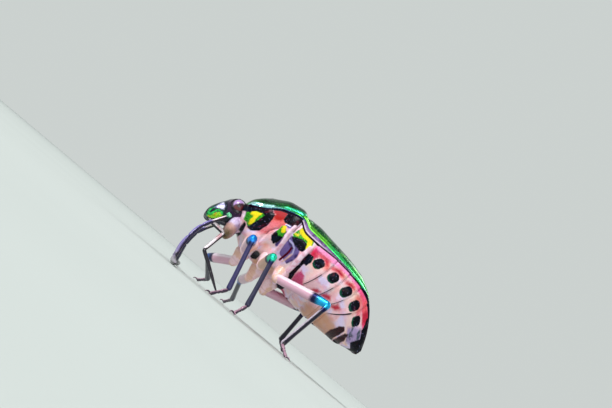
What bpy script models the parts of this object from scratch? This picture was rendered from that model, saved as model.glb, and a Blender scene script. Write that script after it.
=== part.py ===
"""A lychee shield bug, life size, standing on its six feet with its beak and feelers let down.

The bug's head points to -X and its left side to -Y. The floor is z = 0. The shell is modelled in
the body's own frame, level and straight, and one empty then leans and pitches it over the feet.
Lengths are in metres, and MM turns a size in millimetres into metres.
"""

import math

import bmesh
import bpy
from mathutils import Euler, Matrix, Quaternion, Vector

MM = 0.001

# Driving sizes
BODY_LENGTH = 13.0 * MM
RIDE_HEIGHT = 5.6 * MM  # the side rim of the shell at mid length, above the floor
LEAN = math.radians(20)  # the left side is carried higher than the right
NOSE_UP = math.radians(5)
GAP = 0.25 * MM  # the cut between two pieces that touch
MIDDLE = Vector((0.189 * MM, 0.43 * MM, 0))  # the body's middle, seen from above

# Profiles of the shell: (distance behind the tip of the head, value), in millimetres, with
# heights counted from the level of the side rim at mid length
HALF_WIDTH = ((1.3, 1.35), (2.2, 1.85), (3.4, 2.7), (4.7, 3.38), (5.4, 3.27), (7.6, 3.4),
              (9.6, 3.05), (11.2, 2.3), (12.4, 1.3), (13.0, 0.4))
RIM = ((1.3, -0.9), (2.5, -0.43), (3.5, 0.14), (4.7, 0.28), (5.5, 0.05), (9.8, 0.1),
       (10.7, 0.02), (11.4, -0.32), (12.1, -0.9), (12.6, -1.45), (13.0, -2.0))
PRONOTUM_BACK = ((1.4, -0.5), (1.7, 0.22), (2.2, 0.82), (2.85, 1.25), (3.6, 1.5), (4.3, 1.42),
                 (4.95, 0.98))
SCUTELLUM_BACK = ((4.9, 1.14), (5.25, 1.42), (5.9, 1.52), (6.6, 1.4), (7.4, 1.3), (8.7, 1.18),
                  (9.5, 1.03), (10.3, 0.72), (10.9, 0.34), (11.5, -0.14), (12.2, -0.83),
                  (12.7, -1.45), (13.0, -1.9))
BELLY = ((1.4, -1.7), (2.4, -2.05), (3.5, -2.2), (6.4, -2.2), (7.7, -2.45), (10.5, -2.5),
         (11.6, -2.4), (12.4, -2.2), (13.0, -2.15))
WING_STRIP = ((4.9, 0.62), (6.5, 0.55), (8.0, 0.4), (9.4, 0.2))
RIM_THICKNESS = 0.16 * MM
DOME_POWER = 2.05
BELLY_POWER = 2.15

# Where the shell is cut across, behind the tip of the head
PRONOTUM_END = 4.85 * MM
PROTHORAX_END = 4.0 * MM
MESOTHORAX_END = 4.95 * MM
METATHORAX_END = 6.5 * MM
STERNITE_ENDS = (7.75, 8.95, 10.1, 11.1, 11.85)  # the belly plates' hind edges, in millimetres
STERNITE_STEP = 0.07 * MM  # how far each belly plate stands over the next
WING_END = 9.4 * MM
TAIL_END = 12.8 * MM

# The head has its own frame: its axis starts in the neck and points forward and down
NECK = Vector((1.85 * MM, 0, -1.0 * MM))
HEAD_DROOP = math.radians(41.5)
HEAD_LENGTH = 2.5 * MM
HEAD_TOP = ((0.0, 0.66), (0.6, 0.76), (1.2, 0.76), (1.7, 0.62), (2.15, 0.36), (2.5, 0.0))
HEAD_BOTTOM = ((0.0, -0.74), (0.7, -0.7), (1.5, -0.52), (2.2, -0.42), (2.5, -0.24))
HEAD_HALF_WIDTH = ((0.0, 1.02), (0.6, 1.14), (1.1, 0.98), (1.7, 0.76), (2.2, 0.56), (2.5, 0.24))
HEAD_POWER = 2.2
EYE_RADIUS = 0.43 * MM
EYE_CENTRE = Vector((0.62, 1.2, 0.36)) * MM  # along the head, to the side, and up
OCELLUS_RADIUS = 0.1 * MM
OCELLUS_CENTRE = Vector((0.5, 0.55, 0.76)) * MM
TUBERCLE_RADIUS = 0.3 * MM
TUBERCLE_CENTRE = Vector((1.62, 0.62, -0.42)) * MM

# The beak's joints in the body's middle plane: (behind the tip of the head, height)
BEAK_JOINTS = ((0.92, -2.72), (1.78, -2.7), (1.64, -4.4), (2.9, -5.12), (4.0, -5.78))
BEAK_RADII = (0.23, 0.22, 0.21, 0.19, 0.13)

# Legs, left and right of each pair. The hip is in the body's frame: (behind the tip of the head,
# to the side, height). Knee, shin end and toe stand in the room, measured from the body's middle
HIPS = {"front": (3.45, 1.35, -3.0), "mid": (4.85, 1.4, -3.0), "hind": (6.05, 1.5, -2.92)}
LEG_JOINTS = {
    "front_left": ((-3.26, -4.85, 4.3), (-2.42, -5.4, 0.9), (-3.1, -6.35, 0.15)),
    "mid_left": ((-1.62, -5.1, 4.2), (-0.96, -5.9, 0.85), (-1.3, -7.0, 0.15)),
    "hind_left": ((2.78, -4.3, 4.1), (2.02, -6.3, 0.5), (2.6, -7.3, 0.15)),
    "front_right": ((-4.85, 2.5, 1.75), (-3.95, 5.6, 0.6), (-4.5, 6.7, 0.15)),
    "mid_right": ((-2.25, 3.1, 1.95), (-1.85, 6.2, 0.6), (-2.2, 7.4, 0.15)),
    "hind_right": ((2.3, 3.75, 3.2), (2.35, 5.75, 0.6), (3.0, 6.6, 0.15)),
}
HIP_ROOT_SHARE = 0.72  # the hip's root lies this share as far to the side as its end
HIP_PROFILE = ((0.0, 0.34), (0.25, 0.42), (0.7, 0.4), (1.0, 0.28))
FEMUR_PROFILE = ((0.0, 0.2), (0.06, 0.27), (0.3, 0.33), (0.65, 0.34), (0.9, 0.29), (1.0, 0.27))
TIBIA_PROFILE = ((0.0, 0.17), (0.05, 0.25), (0.5, 0.25), (0.93, 0.27), (1.0, 0.25))
TARSUS_PROFILE = ((0.0, 0.17), (0.1, 0.25), (0.3, 0.22), (0.42, 0.25), (0.72, 0.24), (0.94, 0.25),
                  (1.0, 0.15))

# Feelers: the way that each follows from the head, in the room, and its five joints' lengths
FEELER_WAYS = {
    "left": ((-6.05, -1.9, 3.3), (-6.33, -2.35, 2.5), (-6.38, -3.0, 1.3), (-6.2, -3.85, 0.5),
             (-6.05, -5.0, 0.31), (-5.95, -6.3, 0.29), (-5.8, -7.6, 0.29), (-5.65, -8.8, 0.29)),
    "right": ((-6.13, 0.15, 2.85), (-6.37, 0.6, 2.2), (-6.42, 1.25, 1.2), (-6.3, 2.1, 0.5),
              (-6.2, 3.2, 0.31), (-6.15, 4.5, 0.29), (-6.25, 5.8, 0.29), (-6.4, 7.1, 0.29)),
}
FEELER_LENGTHS = (0.95, 1.2, 1.95, 2.2, 2.4)
FEELER_RADII = (0.25, 0.22, 0.24, 0.25, 0.24)
FEELER_TIP_RADIUS = 0.14

RING_SIDES = 10
BELLY_SIDES = 17
BACK_SIDES = 19

COLOURS = {  # base colour, roughness, metallic
    "green_shell": ((0.03, 0.34, 0.14, 1), 0.28, 0.75),
    "head_shell": ((0.05, 0.30, 0.12, 1), 0.28, 0.7),
    "eye": ((0.10, 0.05, 0.07, 1), 0.2, 0.0),
    "violet_wing": ((0.30, 0.20, 0.38, 1), 0.4, 0.3),
    "pink_thorax": ((0.78, 0.56, 0.60, 1), 0.4, 0.0),
    "pink_belly": ((0.85, 0.50, 0.52, 1), 0.38, 0.0),
    "pale_hip": ((0.80, 0.60, 0.50, 1), 0.42, 0.0),
    "pale_femur": ((0.82, 0.68, 0.72, 1), 0.38, 0.0),
    "dark_shin": ((0.05, 0.04, 0.09, 1), 0.35, 0.35),
    "dark_feeler": ((0.09, 0.07, 0.16, 1), 0.4, 0.3),
    "pale_beak": ((0.70, 0.60, 0.58, 1), 0.4, 0.0),
}


def clear_scene():
    for obj in list(bpy.data.objects):
        bpy.data.objects.remove(obj, do_unlink=True)


def material(name):
    """The named finish, made once."""
    found = bpy.data.materials.get(name)
    if found:
        return found
    colour, roughness, metallic = COLOURS[name]
    made = bpy.data.materials.new(name)
    made.use_nodes = True
    shader = made.node_tree.nodes["Principled BSDF"]
    shader.inputs["Base Color"].default_value = colour
    shader.inputs["Roughness"].default_value = roughness
    shader.inputs["Metallic"].default_value = metallic
    made.diffuse_color = colour
    return made


def smooth_curve(table):
    """A function through a table of points in millimetres that never overshoots between two of
    them. It takes and gives metres."""
    xs = [x * MM for x, _ in table]
    ys = [y * MM for _, y in table]
    steps = [b - a for a, b in zip(xs, xs[1:])]
    slopes = [(b - a) / step for a, b, step in zip(ys, ys[1:], steps)]
    bends = [slopes[0]]
    for before, after in zip(slopes, slopes[1:]):
        bends.append(2 * before * after / (before + after) if before * after > 0 else 0.0)
    bends.append(slopes[-1])

    def value(x):
        x = min(max(x, xs[0]), xs[-1])
        i = max(k for k in range(len(steps)) if x >= xs[k])
        t = (x - xs[i]) / steps[i]
        rise = (3 - 2 * t) * t * t
        lead = steps[i] * t * (1 - t) * ((1 - t) * bends[i] - t * bends[i + 1])
        return ys[i] + (ys[i + 1] - ys[i]) * rise + lead

    return value


half_width = smooth_curve(HALF_WIDTH)
rim = smooth_curve(RIM)
pronotum_back = smooth_curve(PRONOTUM_BACK)
scutellum_back = smooth_curve(SCUTELLUM_BACK)
belly = smooth_curve(BELLY)
wing_strip = smooth_curve(WING_STRIP)


def body_pose():
    """From the body's own frame to the room."""
    turn = Euler((-LEAN, NOSE_UP, 0)).to_matrix().to_4x4()
    return Matrix.Translation(MIDDLE + Vector((0, 0, RIDE_HEIGHT))) @ turn


def head_pose():
    """From the head's frame (forward, to the left, up) to the body's own frame."""
    forward = Vector((-math.cos(HEAD_DROOP), 0, -math.sin(HEAD_DROOP)))
    up = Vector((-math.sin(HEAD_DROOP), 0, math.cos(HEAD_DROOP)))
    left = Vector((0, -1, 0))
    turn = Matrix((forward, left, up)).transposed().to_4x4()
    return Matrix.Translation(NECK - Vector((BODY_LENGTH / 2, 0, 0))) @ turn


def in_body(behind, side, height):
    """A point of the body's own frame, from its distance behind the tip of the head."""
    return Vector((behind - BODY_LENGTH / 2, side, height))


def spread(first, last, count):
    return [first + (last - first) * i / (count - 1) for i in range(count)]


def turned_out(mesh):
    """Turns every face of a closed surface outwards."""
    mesh.normal_update()
    bmesh.ops.recalc_face_normals(mesh, faces=mesh.faces)
    if mesh.calc_volume(signed=True) < 0:
        bmesh.ops.reverse_faces(mesh, faces=mesh.faces)


def skinned(rings):
    """A closed surface over rings of equally many points, with a flat face at both ends."""
    mesh = bmesh.new()
    loops = [[mesh.verts.new(point) for point in ring] for ring in rings]
    for near, far in zip(loops, loops[1:]):
        for i in range(len(near)):
            j = (i + 1) % len(near)
            mesh.faces.new((near[i], near[j], far[j], far[i]))
    mesh.faces.new(reversed(loops[0]))
    mesh.faces.new(loops[-1])
    turned_out(mesh)
    return mesh


def cut_off(mesh, point, towards):
    """Cuts the mesh with a plane, drops what lies on the side that towards points to, and closes
    the cut."""
    geometry = list(mesh.verts) + list(mesh.edges) + list(mesh.faces)
    cut = bmesh.ops.bisect_plane(
        mesh, geom=geometry, plane_co=point, plane_no=towards, clear_outer=True
    )
    edges = [item for item in cut["geom_cut"] if isinstance(item, bmesh.types.BMEdge)]
    bmesh.ops.contextual_create(mesh, geom=edges)
    turned_out(mesh)


def place(name, mesh, finish, parent=None, origin=None):
    """Makes an object of the mesh, with its origin moved to a point of its own."""
    data = bpy.data.meshes.new(name)
    if origin is not None:
        bmesh.ops.translate(mesh, verts=mesh.verts, vec=-origin)
    mesh.to_mesh(data)
    mesh.free()
    data.shade_smooth()
    data.set_sharp_from_angle(angle=math.radians(40))
    data.materials.append(material(finish))
    obj = bpy.data.objects.new(name, data)
    bpy.context.scene.collection.objects.link(obj)
    obj.parent = parent
    if origin is not None:
        obj.location = origin
    return obj


def joined(target, others, operation):
    """Joins the other objects to the target, or cuts them out of it, and removes them."""
    group = bpy.data.collections.new(target.name + "_pieces")
    for obj in others:
        group.objects.link(obj)
    change = target.modifiers.new(operation, "BOOLEAN")
    change.operation = operation
    change.operand_type = "COLLECTION"
    change.collection = group
    bpy.context.view_layer.update()
    graph = bpy.context.evaluated_depsgraph_get()
    made = bpy.data.meshes.new_from_object(target.evaluated_get(graph))
    target.modifiers.clear()
    target.data = made
    for obj in others:
        bpy.data.objects.remove(obj, do_unlink=True)
    bpy.data.collections.remove(group)


def neck_cut(mesh, clearance):
    """Cuts away what lies in front of the neck, in the body's own frame."""
    pose = head_pose()
    point = pose @ Vector((clearance, 0, 0))
    forward = pose.to_3x3() @ Vector((1, 0, 0))
    cut_off(mesh, point, forward)


def dome_height(back, behind, side):
    """The height of the shell's back over the floor of its own frame."""
    edge = rim(behind) + RIM_THICKNESS
    share = min(abs(side) / half_width(behind), 1)
    return edge + (back(behind) - edge) * (1 - share**DOME_POWER) ** (1 / DOME_POWER)


def back_ring(back, behind, right, left):
    """The outline of a slice of the shell's back between two distances to the side."""
    base = rim(behind) + GAP / 2
    sides = [
        right + (left - right) * (1 - math.cos(math.pi * i / (BACK_SIDES - 1))) / 2
        for i in range(BACK_SIDES)
    ]
    top = [in_body(behind, side, dome_height(back, behind, side)) for side in sides]
    return [in_body(behind, right, base)] + top + [in_body(behind, left, base)]


def belly_ring(behind, swell):
    """The outline of a slice of the underside, from its flat top round the belly."""
    top = rim(behind) - GAP / 2
    depth = top - belly(behind) + swell
    ring = []
    for i in range(BELLY_SIDES):
        angle = math.pi * i / (BELLY_SIDES - 1)
        reach = abs(math.cos(angle)) ** (2 / BELLY_POWER)
        side = math.copysign(half_width(behind) * reach, math.cos(angle))
        drop = depth * math.sin(angle) ** (2 / BELLY_POWER)
        ring.append(in_body(behind, side, top - drop))
    return ring


def make_pronotum(parent):
    stations = (1.42, 1.6, 1.85, 2.2, 2.6, 3.1, 3.6, 4.1, 4.45, 4.7)
    behinds = [station * MM for station in stations] + [PRONOTUM_END - GAP / 2]
    rings = [back_ring(pronotum_back, b, half_width(b), -half_width(b)) for b in behinds]
    mesh = skinned(rings)
    neck_cut(mesh, 0)
    return place("pronotum", mesh, "green_shell", parent)


def make_scutellum(parent):
    stations = (5.15, 5.4, 5.8, 6.4, 7.1, 7.8, 8.5, 9.2, 9.8, 10.4, 10.9, 11.35, 11.75, 12.1, 12.4,
                12.65, 12.85, 13.0)
    behinds = [PRONOTUM_END + GAP / 2] + [station * MM for station in stations]
    rings = []
    for behind in behinds:
        reach = half_width(behind)
        if behind < WING_END:
            reach -= wing_strip(behind) + GAP * min(1, (WING_END - behind) / (0.5 * MM))
        rings.append(back_ring(scutellum_back, behind, reach, -reach))
    return place("scutellum", skinned(rings), "green_shell", parent)


def make_wings(parent):
    """The outer edge of each forewing, which shows between the back shield and the belly."""
    behinds = spread(PRONOTUM_END + GAP / 2, WING_END - GAP, 10)
    for label, sign in (("left", -1), ("right", 1)):
        rings = []
        for behind in behinds:
            outer = half_width(behind)
            inner = outer - wing_strip(behind)
            ring = back_ring(scutellum_back, behind, outer, inner)
            rings.append([Vector((p.x, sign * p.y, p.z)) for p in ring])
        place(f"forewing_{label}", skinned(rings), "violet_wing", parent)


def make_thorax(parent):
    """The three plates under the pronotum and the base of the back shield."""
    cuts = (
        ("prothorax", 1.42 * MM, PROTHORAX_END - GAP / 2, 9),
        ("mesothorax", PROTHORAX_END + GAP / 2, MESOTHORAX_END - GAP / 2, 4),
        ("metathorax", MESOTHORAX_END + GAP / 2, METATHORAX_END - GAP / 2, 5),
    )
    for name, first, last, count in cuts:
        rings = [belly_ring(behind, 0) for behind in spread(first, last, count)]
        mesh = skinned(rings)
        if name == "prothorax":
            neck_cut(mesh, 0)
        place(name, mesh, "pink_thorax", parent)


def make_abdomen(parent):
    """Belly plates, each standing a little over the one behind it."""
    starts = (METATHORAX_END + GAP / 2,) + tuple(end * MM for end in STERNITE_ENDS[:-1])
    step_run = 0.06 * MM
    rings = []
    for start, end in zip(starts, STERNITE_ENDS):
        end = end * MM
        for behind in spread(start + (step_run if rings else 0), end - step_run, 4):
            share = (behind - start) / (end - start)
            rings.append(belly_ring(behind, STERNITE_STEP * share))
    rings.append(belly_ring(STERNITE_ENDS[-1] * MM, 0))
    place("abdomen", skinned(rings), "pink_belly", parent)
    tail = spread(STERNITE_ENDS[-1] * MM + GAP, TAIL_END, 6)
    place("tail_plates", skinned([belly_ring(b, 0) for b in tail]), "pink_belly", parent)


def head_ring(forward, top, bottom, width):
    """An oval slice across the head, in its own frame."""
    middle = (top + bottom) / 2
    ring = []
    sides = 20
    for i in range(sides):
        angle = 2 * math.pi * i / sides
        left = abs(math.cos(angle)) ** (2 / HEAD_POWER) * width
        up = abs(math.sin(angle)) ** (2 / HEAD_POWER) * (top - bottom) / 2
        ring.append(Vector((
            forward,
            math.copysign(left, math.cos(angle)),
            middle + math.copysign(up, math.sin(angle)),
        )))
    return ring


def ball(radius, centre, sides=12):
    """A round bump in the head's own frame."""
    mesh = bmesh.new()
    bmesh.ops.create_uvsphere(mesh, u_segments=sides, v_segments=sides // 2, radius=radius)
    bmesh.ops.translate(mesh, verts=mesh.verts, vec=centre)
    return mesh


def make_head(parent):
    top = smooth_curve(HEAD_TOP)
    bottom = smooth_curve(HEAD_BOTTOM)
    width = smooth_curve(HEAD_HALF_WIDTH)
    stations = [GAP] + spread(0.5 * MM, 1.9 * MM, 6) + [2.15 * MM, 2.35 * MM, HEAD_LENGTH]
    rings = [head_ring(f, top(f), bottom(f), width(f)) for f in stations]
    holder = bpy.data.objects.new("head_frame", None)
    bpy.context.scene.collection.objects.link(holder)
    holder.parent = parent
    holder.matrix_basis = head_pose()
    head = place("head", skinned(rings), "head_shell", holder)
    bumps = []
    sockets = []
    for label, sign in (("left", 1), ("right", -1)):
        mirror = Vector((1, sign, 1))
        tubercle = ball(TUBERCLE_RADIUS, TUBERCLE_CENTRE * mirror)
        ocellus = ball(OCELLUS_RADIUS, OCELLUS_CENTRE * mirror, 8)
        socket = ball(EYE_RADIUS + GAP, EYE_CENTRE * mirror, 16)
        bumps.append(place(f"tubercle_{label}", tubercle, "head_shell", holder))
        bumps.append(place(f"ocellus_{label}", ocellus, "head_shell", holder))
        sockets.append(place(f"socket_{label}", socket, "head_shell", holder))
        eye = ball(EYE_RADIUS, Vector((0, 0, 0)), 16)
        bmesh.ops.scale(eye, verts=eye.verts, vec=(1, 0.95, 1.08))
        bmesh.ops.translate(eye, verts=eye.verts, vec=EYE_CENTRE * mirror)
        place(f"eye_{label}", eye, "eye", holder)
    joined(head, bumps, "UNION")
    joined(head, sockets, "DIFFERENCE")


def route_through(points, lengths):
    """Points at given lengths along a smooth line through the given points."""
    line = [points[0]]
    ends = [points[0] * 2 - points[1]] + list(points) + [points[-1] * 2 - points[-2]]
    for a, b, c, d in zip(ends, ends[1:], ends[2:], ends[3:]):
        for t in spread(0, 1, 13)[1:]:
            line.append(0.5 * (
                2 * b + (c - a) * t + (2 * a - 5 * b + 4 * c - d) * t**2
                + (3 * b - a - 3 * c + d) * t**3
            ))
    walked = [0.0]
    for a, b in zip(line, line[1:]):
        walked.append(walked[-1] + (b - a).length)
    found = []
    for length in lengths:
        i = max(k for k in range(len(line) - 1) if walked[k] <= max(length, 0))
        share = (length - walked[i]) / (walked[i + 1] - walked[i])
        found.append(line[i].lerp(line[i + 1], min(share, 1)))
    return found


def limb(name, points, profile, finish, floor_flat=False):
    """A round, tapered piece along a line of points, one for each (share, radius) pair."""
    whole = (points[-1] - points[0]).normalized()
    across = min(Matrix.Identity(3), key=lambda axis: abs(whole.dot(axis)))
    rings = []
    for i, (point, (_, radius)) in enumerate(zip(points, profile)):
        ahead = points[min(i + 1, len(points) - 1)] - points[max(i - 1, 0)]
        side = ahead.cross(across).normalized()
        turns = [Quaternion(ahead, 2 * math.pi * k / RING_SIDES) for k in range(RING_SIDES)]
        rings.append([point + turn @ side * radius * MM for turn in turns])
    mesh = skinned(rings)
    if floor_flat:
        cut_off(mesh, Vector((0, 0, 0)), Vector((0, 0, -1)))
    return place(name, mesh, finish, origin=points[0])


def straight_limb(name, start, end, profile, finish, clearance, round_end=True):
    """A limb piece between two joints. It starts clear of the first and ends in a round knob on
    the second, or flat on the floor."""
    along = (end - start).normalized()
    first = start + along * clearance
    points = [first.lerp(end, share) for share, _ in profile]
    if not round_end:
        return limb(name, points, profile, finish, floor_flat=True)
    radius = profile[-1][1]
    rings = list(profile)
    for angle in (math.radians(32), math.radians(62)):
        points.append(end + along * radius * MM * math.sin(angle))
        rings.append((1.0, radius * math.cos(angle)))
    return limb(name, points, rings, finish)


def make_legs():
    pose = body_pose()
    middle = Vector((MIDDLE.x, MIDDLE.y, 0))
    for label, joints in LEG_JOINTS.items():
        pair, side = label.split("_")
        sign = -1 if side == "left" else 1
        behind, reach, height = (value * MM for value in HIPS[pair])
        root_height = belly(behind) - GAP * 0.9
        root = pose @ in_body(behind, sign * reach * HIP_ROOT_SHARE, root_height)
        hip = pose @ in_body(behind, sign * reach, height)
        knee, shin_end, toe = (middle + Vector(joint) * MM for joint in joints)
        straight_limb(f"hip_{label}", root, hip, HIP_PROFILE, "pale_hip", 0)
        hip_clearance = HIP_PROFILE[-1][1] * MM + GAP
        knee_clearance = FEMUR_PROFILE[-1][1] * MM + GAP
        ankle_clearance = TIBIA_PROFILE[-1][1] * MM + GAP
        straight_limb(f"femur_{label}", hip, knee, FEMUR_PROFILE, "pale_femur", hip_clearance)
        straight_limb(f"tibia_{label}", knee, shin_end, TIBIA_PROFILE, "dark_shin",
                      knee_clearance)
        straight_limb(f"tarsus_{label}", shin_end, toe, TARSUS_PROFILE, "dark_shin",
                      ankle_clearance, round_end=False)


def make_beak():
    pose = body_pose()
    joints = [pose @ in_body(behind * MM, 0, height * MM) for behind, height in BEAK_JOINTS]
    for i, (start, end) in enumerate(zip(joints, joints[1:])):
        first, last = BEAK_RADII[i], BEAK_RADII[i + 1]
        profile = ((0.0, first * 0.75), (0.1, first), (0.85, last), (1.0, last))
        clearance = first * MM + GAP if i else 0
        straight_limb(f"beak_{i + 1}", start, end, profile, "pale_beak", clearance)


def make_feelers():
    pose = body_pose()
    middle = Vector((MIDDLE.x, MIDDLE.y, 0))
    for side, way in FEELER_WAYS.items():
        sign = 1 if side == "left" else -1
        centre = TUBERCLE_CENTRE * Vector((1, sign, 1))
        root = pose @ head_pose() @ centre
        points = [root] + [middle + Vector(point) * MM for point in way]
        away = (points[1] - root).normalized()
        points[0] = root + away * (TUBERCLE_RADIUS + GAP / 2)
        start = 0.0
        for i, length in enumerate(FEELER_LENGTHS):
            end = start + length * MM
            first = FEELER_RADII[i]
            last = FEELER_RADII[i + 1] if i + 1 < len(FEELER_RADII) else FEELER_TIP_RADIUS
            profile = ((0.0, first * 0.7), (0.1, first * 0.95), (0.35, first), (0.65, first),
                       (0.9, max(last, first * 0.8)), (1.0, last * 0.7))
            lengths = [start + GAP / 2 + (end - start - GAP) * share for share, _ in profile]
            limb(f"feeler_{side}_{i + 1}", route_through(points, lengths), profile, "dark_feeler")
            start = end


def main():
    clear_scene()
    holder = bpy.data.objects.new("body_frame", None)
    bpy.context.scene.collection.objects.link(holder)
    holder.matrix_world = body_pose()
    make_pronotum(holder)
    make_scutellum(holder)
    make_wings(holder)
    make_thorax(holder)
    make_abdomen(holder)
    make_head(holder)
    make_beak()
    make_feelers()
    make_legs()


main()
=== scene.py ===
"""A lychee shield bug, life size: its skins and finishes, fitted over the fixed frame.

The bug's head points to -X and its left side to -Y. Sizes here are in millimetres, in the body's own
frame unless a name says otherwise: (behind the tip of the head, to the side, above the side rim).
"""

import math

import bmesh
import bpy
import numpy as np
from mathutils import Euler, Matrix, Vector


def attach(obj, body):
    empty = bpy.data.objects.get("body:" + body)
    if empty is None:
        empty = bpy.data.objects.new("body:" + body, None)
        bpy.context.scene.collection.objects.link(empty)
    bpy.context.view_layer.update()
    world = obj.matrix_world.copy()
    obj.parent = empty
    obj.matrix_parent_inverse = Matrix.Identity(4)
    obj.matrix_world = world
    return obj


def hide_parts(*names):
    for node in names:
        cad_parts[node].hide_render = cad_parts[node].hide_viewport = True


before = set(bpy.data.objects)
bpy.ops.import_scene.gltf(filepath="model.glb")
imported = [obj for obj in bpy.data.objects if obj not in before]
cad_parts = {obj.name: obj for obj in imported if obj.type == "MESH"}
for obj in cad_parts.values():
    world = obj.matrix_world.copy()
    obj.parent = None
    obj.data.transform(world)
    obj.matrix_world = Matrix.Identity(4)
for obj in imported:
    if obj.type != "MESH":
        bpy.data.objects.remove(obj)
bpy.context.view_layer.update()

MM = 0.001

# The frame's sizes, apart from the two backs and the top of the head. They are fuller here than its
# solids, by 0.25 mm at most
BODY_LENGTH = 13.0
RIDE_HEIGHT = 5.6
LEAN = math.radians(20)
NOSE_UP = math.radians(5)
MIDDLE = (0.189, 0.43)
HALF_WIDTH = ((1.3, 1.35), (2.2, 1.85), (3.4, 2.7), (4.7, 3.38), (5.4, 3.27), (7.6, 3.4),
              (9.6, 3.05), (11.2, 2.3), (12.4, 1.3), (13.0, 0.4))
RIM = ((1.3, -0.9), (2.5, -0.43), (3.5, 0.14), (4.7, 0.28), (5.5, 0.05), (9.8, 0.1),
       (10.7, 0.02), (11.4, -0.32), (12.1, -0.9), (12.6, -1.45), (13.0, -2.0))
PRONOTUM_BACK = ((1.4, -0.45), (1.7, 0.26), (2.2, 0.86), (2.85, 1.3), (3.6, 1.6), (4.3, 1.6),
                 (4.95, 1.16))
SCUTELLUM_BACK = ((4.9, 1.14), (5.25, 1.42), (5.9, 1.54), (6.6, 1.46), (7.4, 1.4), (8.7, 1.34),
                  (9.5, 1.23), (10.3, 0.94), (10.9, 0.56), (11.5, 0.04), (12.2, -0.72),
                  (12.7, -1.4), (13.0, -1.9))
BELLY = ((1.4, -1.7), (2.4, -2.05), (3.5, -2.2), (6.4, -2.2), (7.7, -2.45), (10.5, -2.5),
         (11.6, -2.4), (12.4, -2.2), (13.0, -2.15))
DOME_POWER = 2.2
BELLY_POWER = 2.15
PRONOTUM_END = 4.85
WING_END = 9.4
SKIN_START = 1.35  # behind the tip of the head, of the neck shield and of the underside
UNDERSIDE_END = 12.98
TAIL_CLOSING = 12.6  # from here on the underside closes to its tip

# The head's own frame: (forward, to the left, up) from the neck
NECK = (1.85, 0, -1.0)
HEAD_DROOP = math.radians(41.5)
HEAD_LENGTH = 2.5
HEAD_START = -0.3  # its skin starts inside the neck
HEAD_CLOSING = 2.3  # from here on it closes to its tip
HEAD_TOP = ((-0.3, 0.5), (0.0, 0.78), (0.35, 1.0), (0.8, 0.98), (1.2, 0.84), (1.7, 0.64), (2.15, 0.38),
            (2.5, 0.0))
HEAD_BOTTOM = ((0.0, -0.74), (0.7, -0.7), (1.5, -0.52), (2.2, -0.42), (2.5, -0.24))
HEAD_HALF_WIDTH = ((0.0, 1.02), (0.6, 1.14), (1.1, 0.98), (1.7, 0.76), (2.2, 0.56), (2.5, 0.24))
HEAD_POWER = 2.2
EYE_RADIUS = 0.43
EYE_CENTRE = (0.56, 1.05, 0.27)  # 0.2 mm deeper in the head than the frame's
OCELLUS_RADIUS = 0.105
OCELLUS_CENTRE = (0.36, 0.52, 0.87)
FEELER_BUMP = (1.06, 0.86, -0.27)
FEELER_BUMP_RADIUS = 0.19
FEELER_ROOT = (1.2, 0.76, -0.36)

# Beak, legs and feelers. Knee, shin end and toe are measured in the room from the body's middle
BEAK_JOINTS = ((0.92, -2.72), (1.78, -2.7), (1.64, -4.4), (2.9, -5.12), (4.0, -5.78))
HIPS = {"front": (3.45, 1.35, -3.0), "mid": (4.85, 1.4, -3.0), "hind": (6.05, 1.5, -2.92)}
LEG_JOINTS = {
    "front_left": ((-3.26, -4.85, 4.3), (-2.42, -5.4, 0.9), (-3.1, -6.35, 0.15)),
    "mid_left": ((-1.62, -5.1, 4.2), (-0.96, -5.9, 0.85), (-1.3, -7.0, 0.15)),
    "hind_left": ((2.78, -4.3, 4.1), (2.02, -6.3, 0.5), (2.6, -7.3, 0.15)),
    "front_right": ((-4.85, 2.5, 1.75), (-3.95, 5.6, 0.6), (-4.5, 6.7, 0.15)),
    "mid_right": ((-2.25, 3.1, 1.95), (-1.85, 6.2, 0.6), (-2.2, 7.4, 0.15)),
    "hind_right": ((2.3, 3.75, 3.2), (2.35, 5.75, 0.6), (3.0, 6.6, 0.15)),
}
HIP_ROOT_SHARE = 0.72  # a hip's root lies this share as far to the side as its end
FEELER_WAYS = {
    "left": ((-6.05, -1.9, 3.3), (-6.33, -2.35, 2.5), (-6.38, -3.0, 1.3), (-6.2, -3.85, 0.5),
             (-6.05, -5.0, 0.31), (-5.95, -6.3, 0.29), (-5.8, -7.6, 0.29), (-5.65, -8.8, 0.29)),
    "right": ((-6.13, 0.15, 2.85), (-6.37, 0.6, 2.2), (-6.42, 1.25, 1.2), (-6.3, 2.1, 0.5),
              (-6.2, 3.2, 0.31), (-6.15, 4.5, 0.29), (-6.25, 5.8, 0.29), (-6.4, 7.1, 0.29)),
}
FEELER_LENGTHS = (0.95, 1.2, 1.95, 2.2, 2.4)

# Sizes of the fine skins. The shell's lower edge and the belly's upper edge, from the side rim
SHELL_LIFT = ((4.6, 0.14), (6.3, 0.13), (7.4, 0.05), (8.4, 0.01), (13.0, 0.01))
BELLY_DROP = ((1.3, 0.1), (4.5, 0.1), (5.1, 0.24), (6.4, 0.23), (7.4, 0.15), (8.6, 0.09), (13.0, 0.07))
COLLAR = (1.62, -0.9)  # behind and height of the neck opening's upper edge
COLLAR_SLOPE = 0.45
COLLAR_LIP = 0.1
PRONOTUM_SWEEP = 0.42  # how far its front corners lie behind its front edge
FRONT_ROLL = 0.16
ROLL_SHARE = 0.8  # of a shell's height, that its rolled edges go down
SHELL_THICKNESS = 0.04
STRIP_THICKNESS = 0.17
STRIP_SET_IN = 0.15
STRIP_OVER_BELLY = 0.03
STRIP_UNDER_SHELL = 0.08
LIMB_SIDES = 20
PIT_SCALE = 7.5  # punctures to a millimetre of shell

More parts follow.
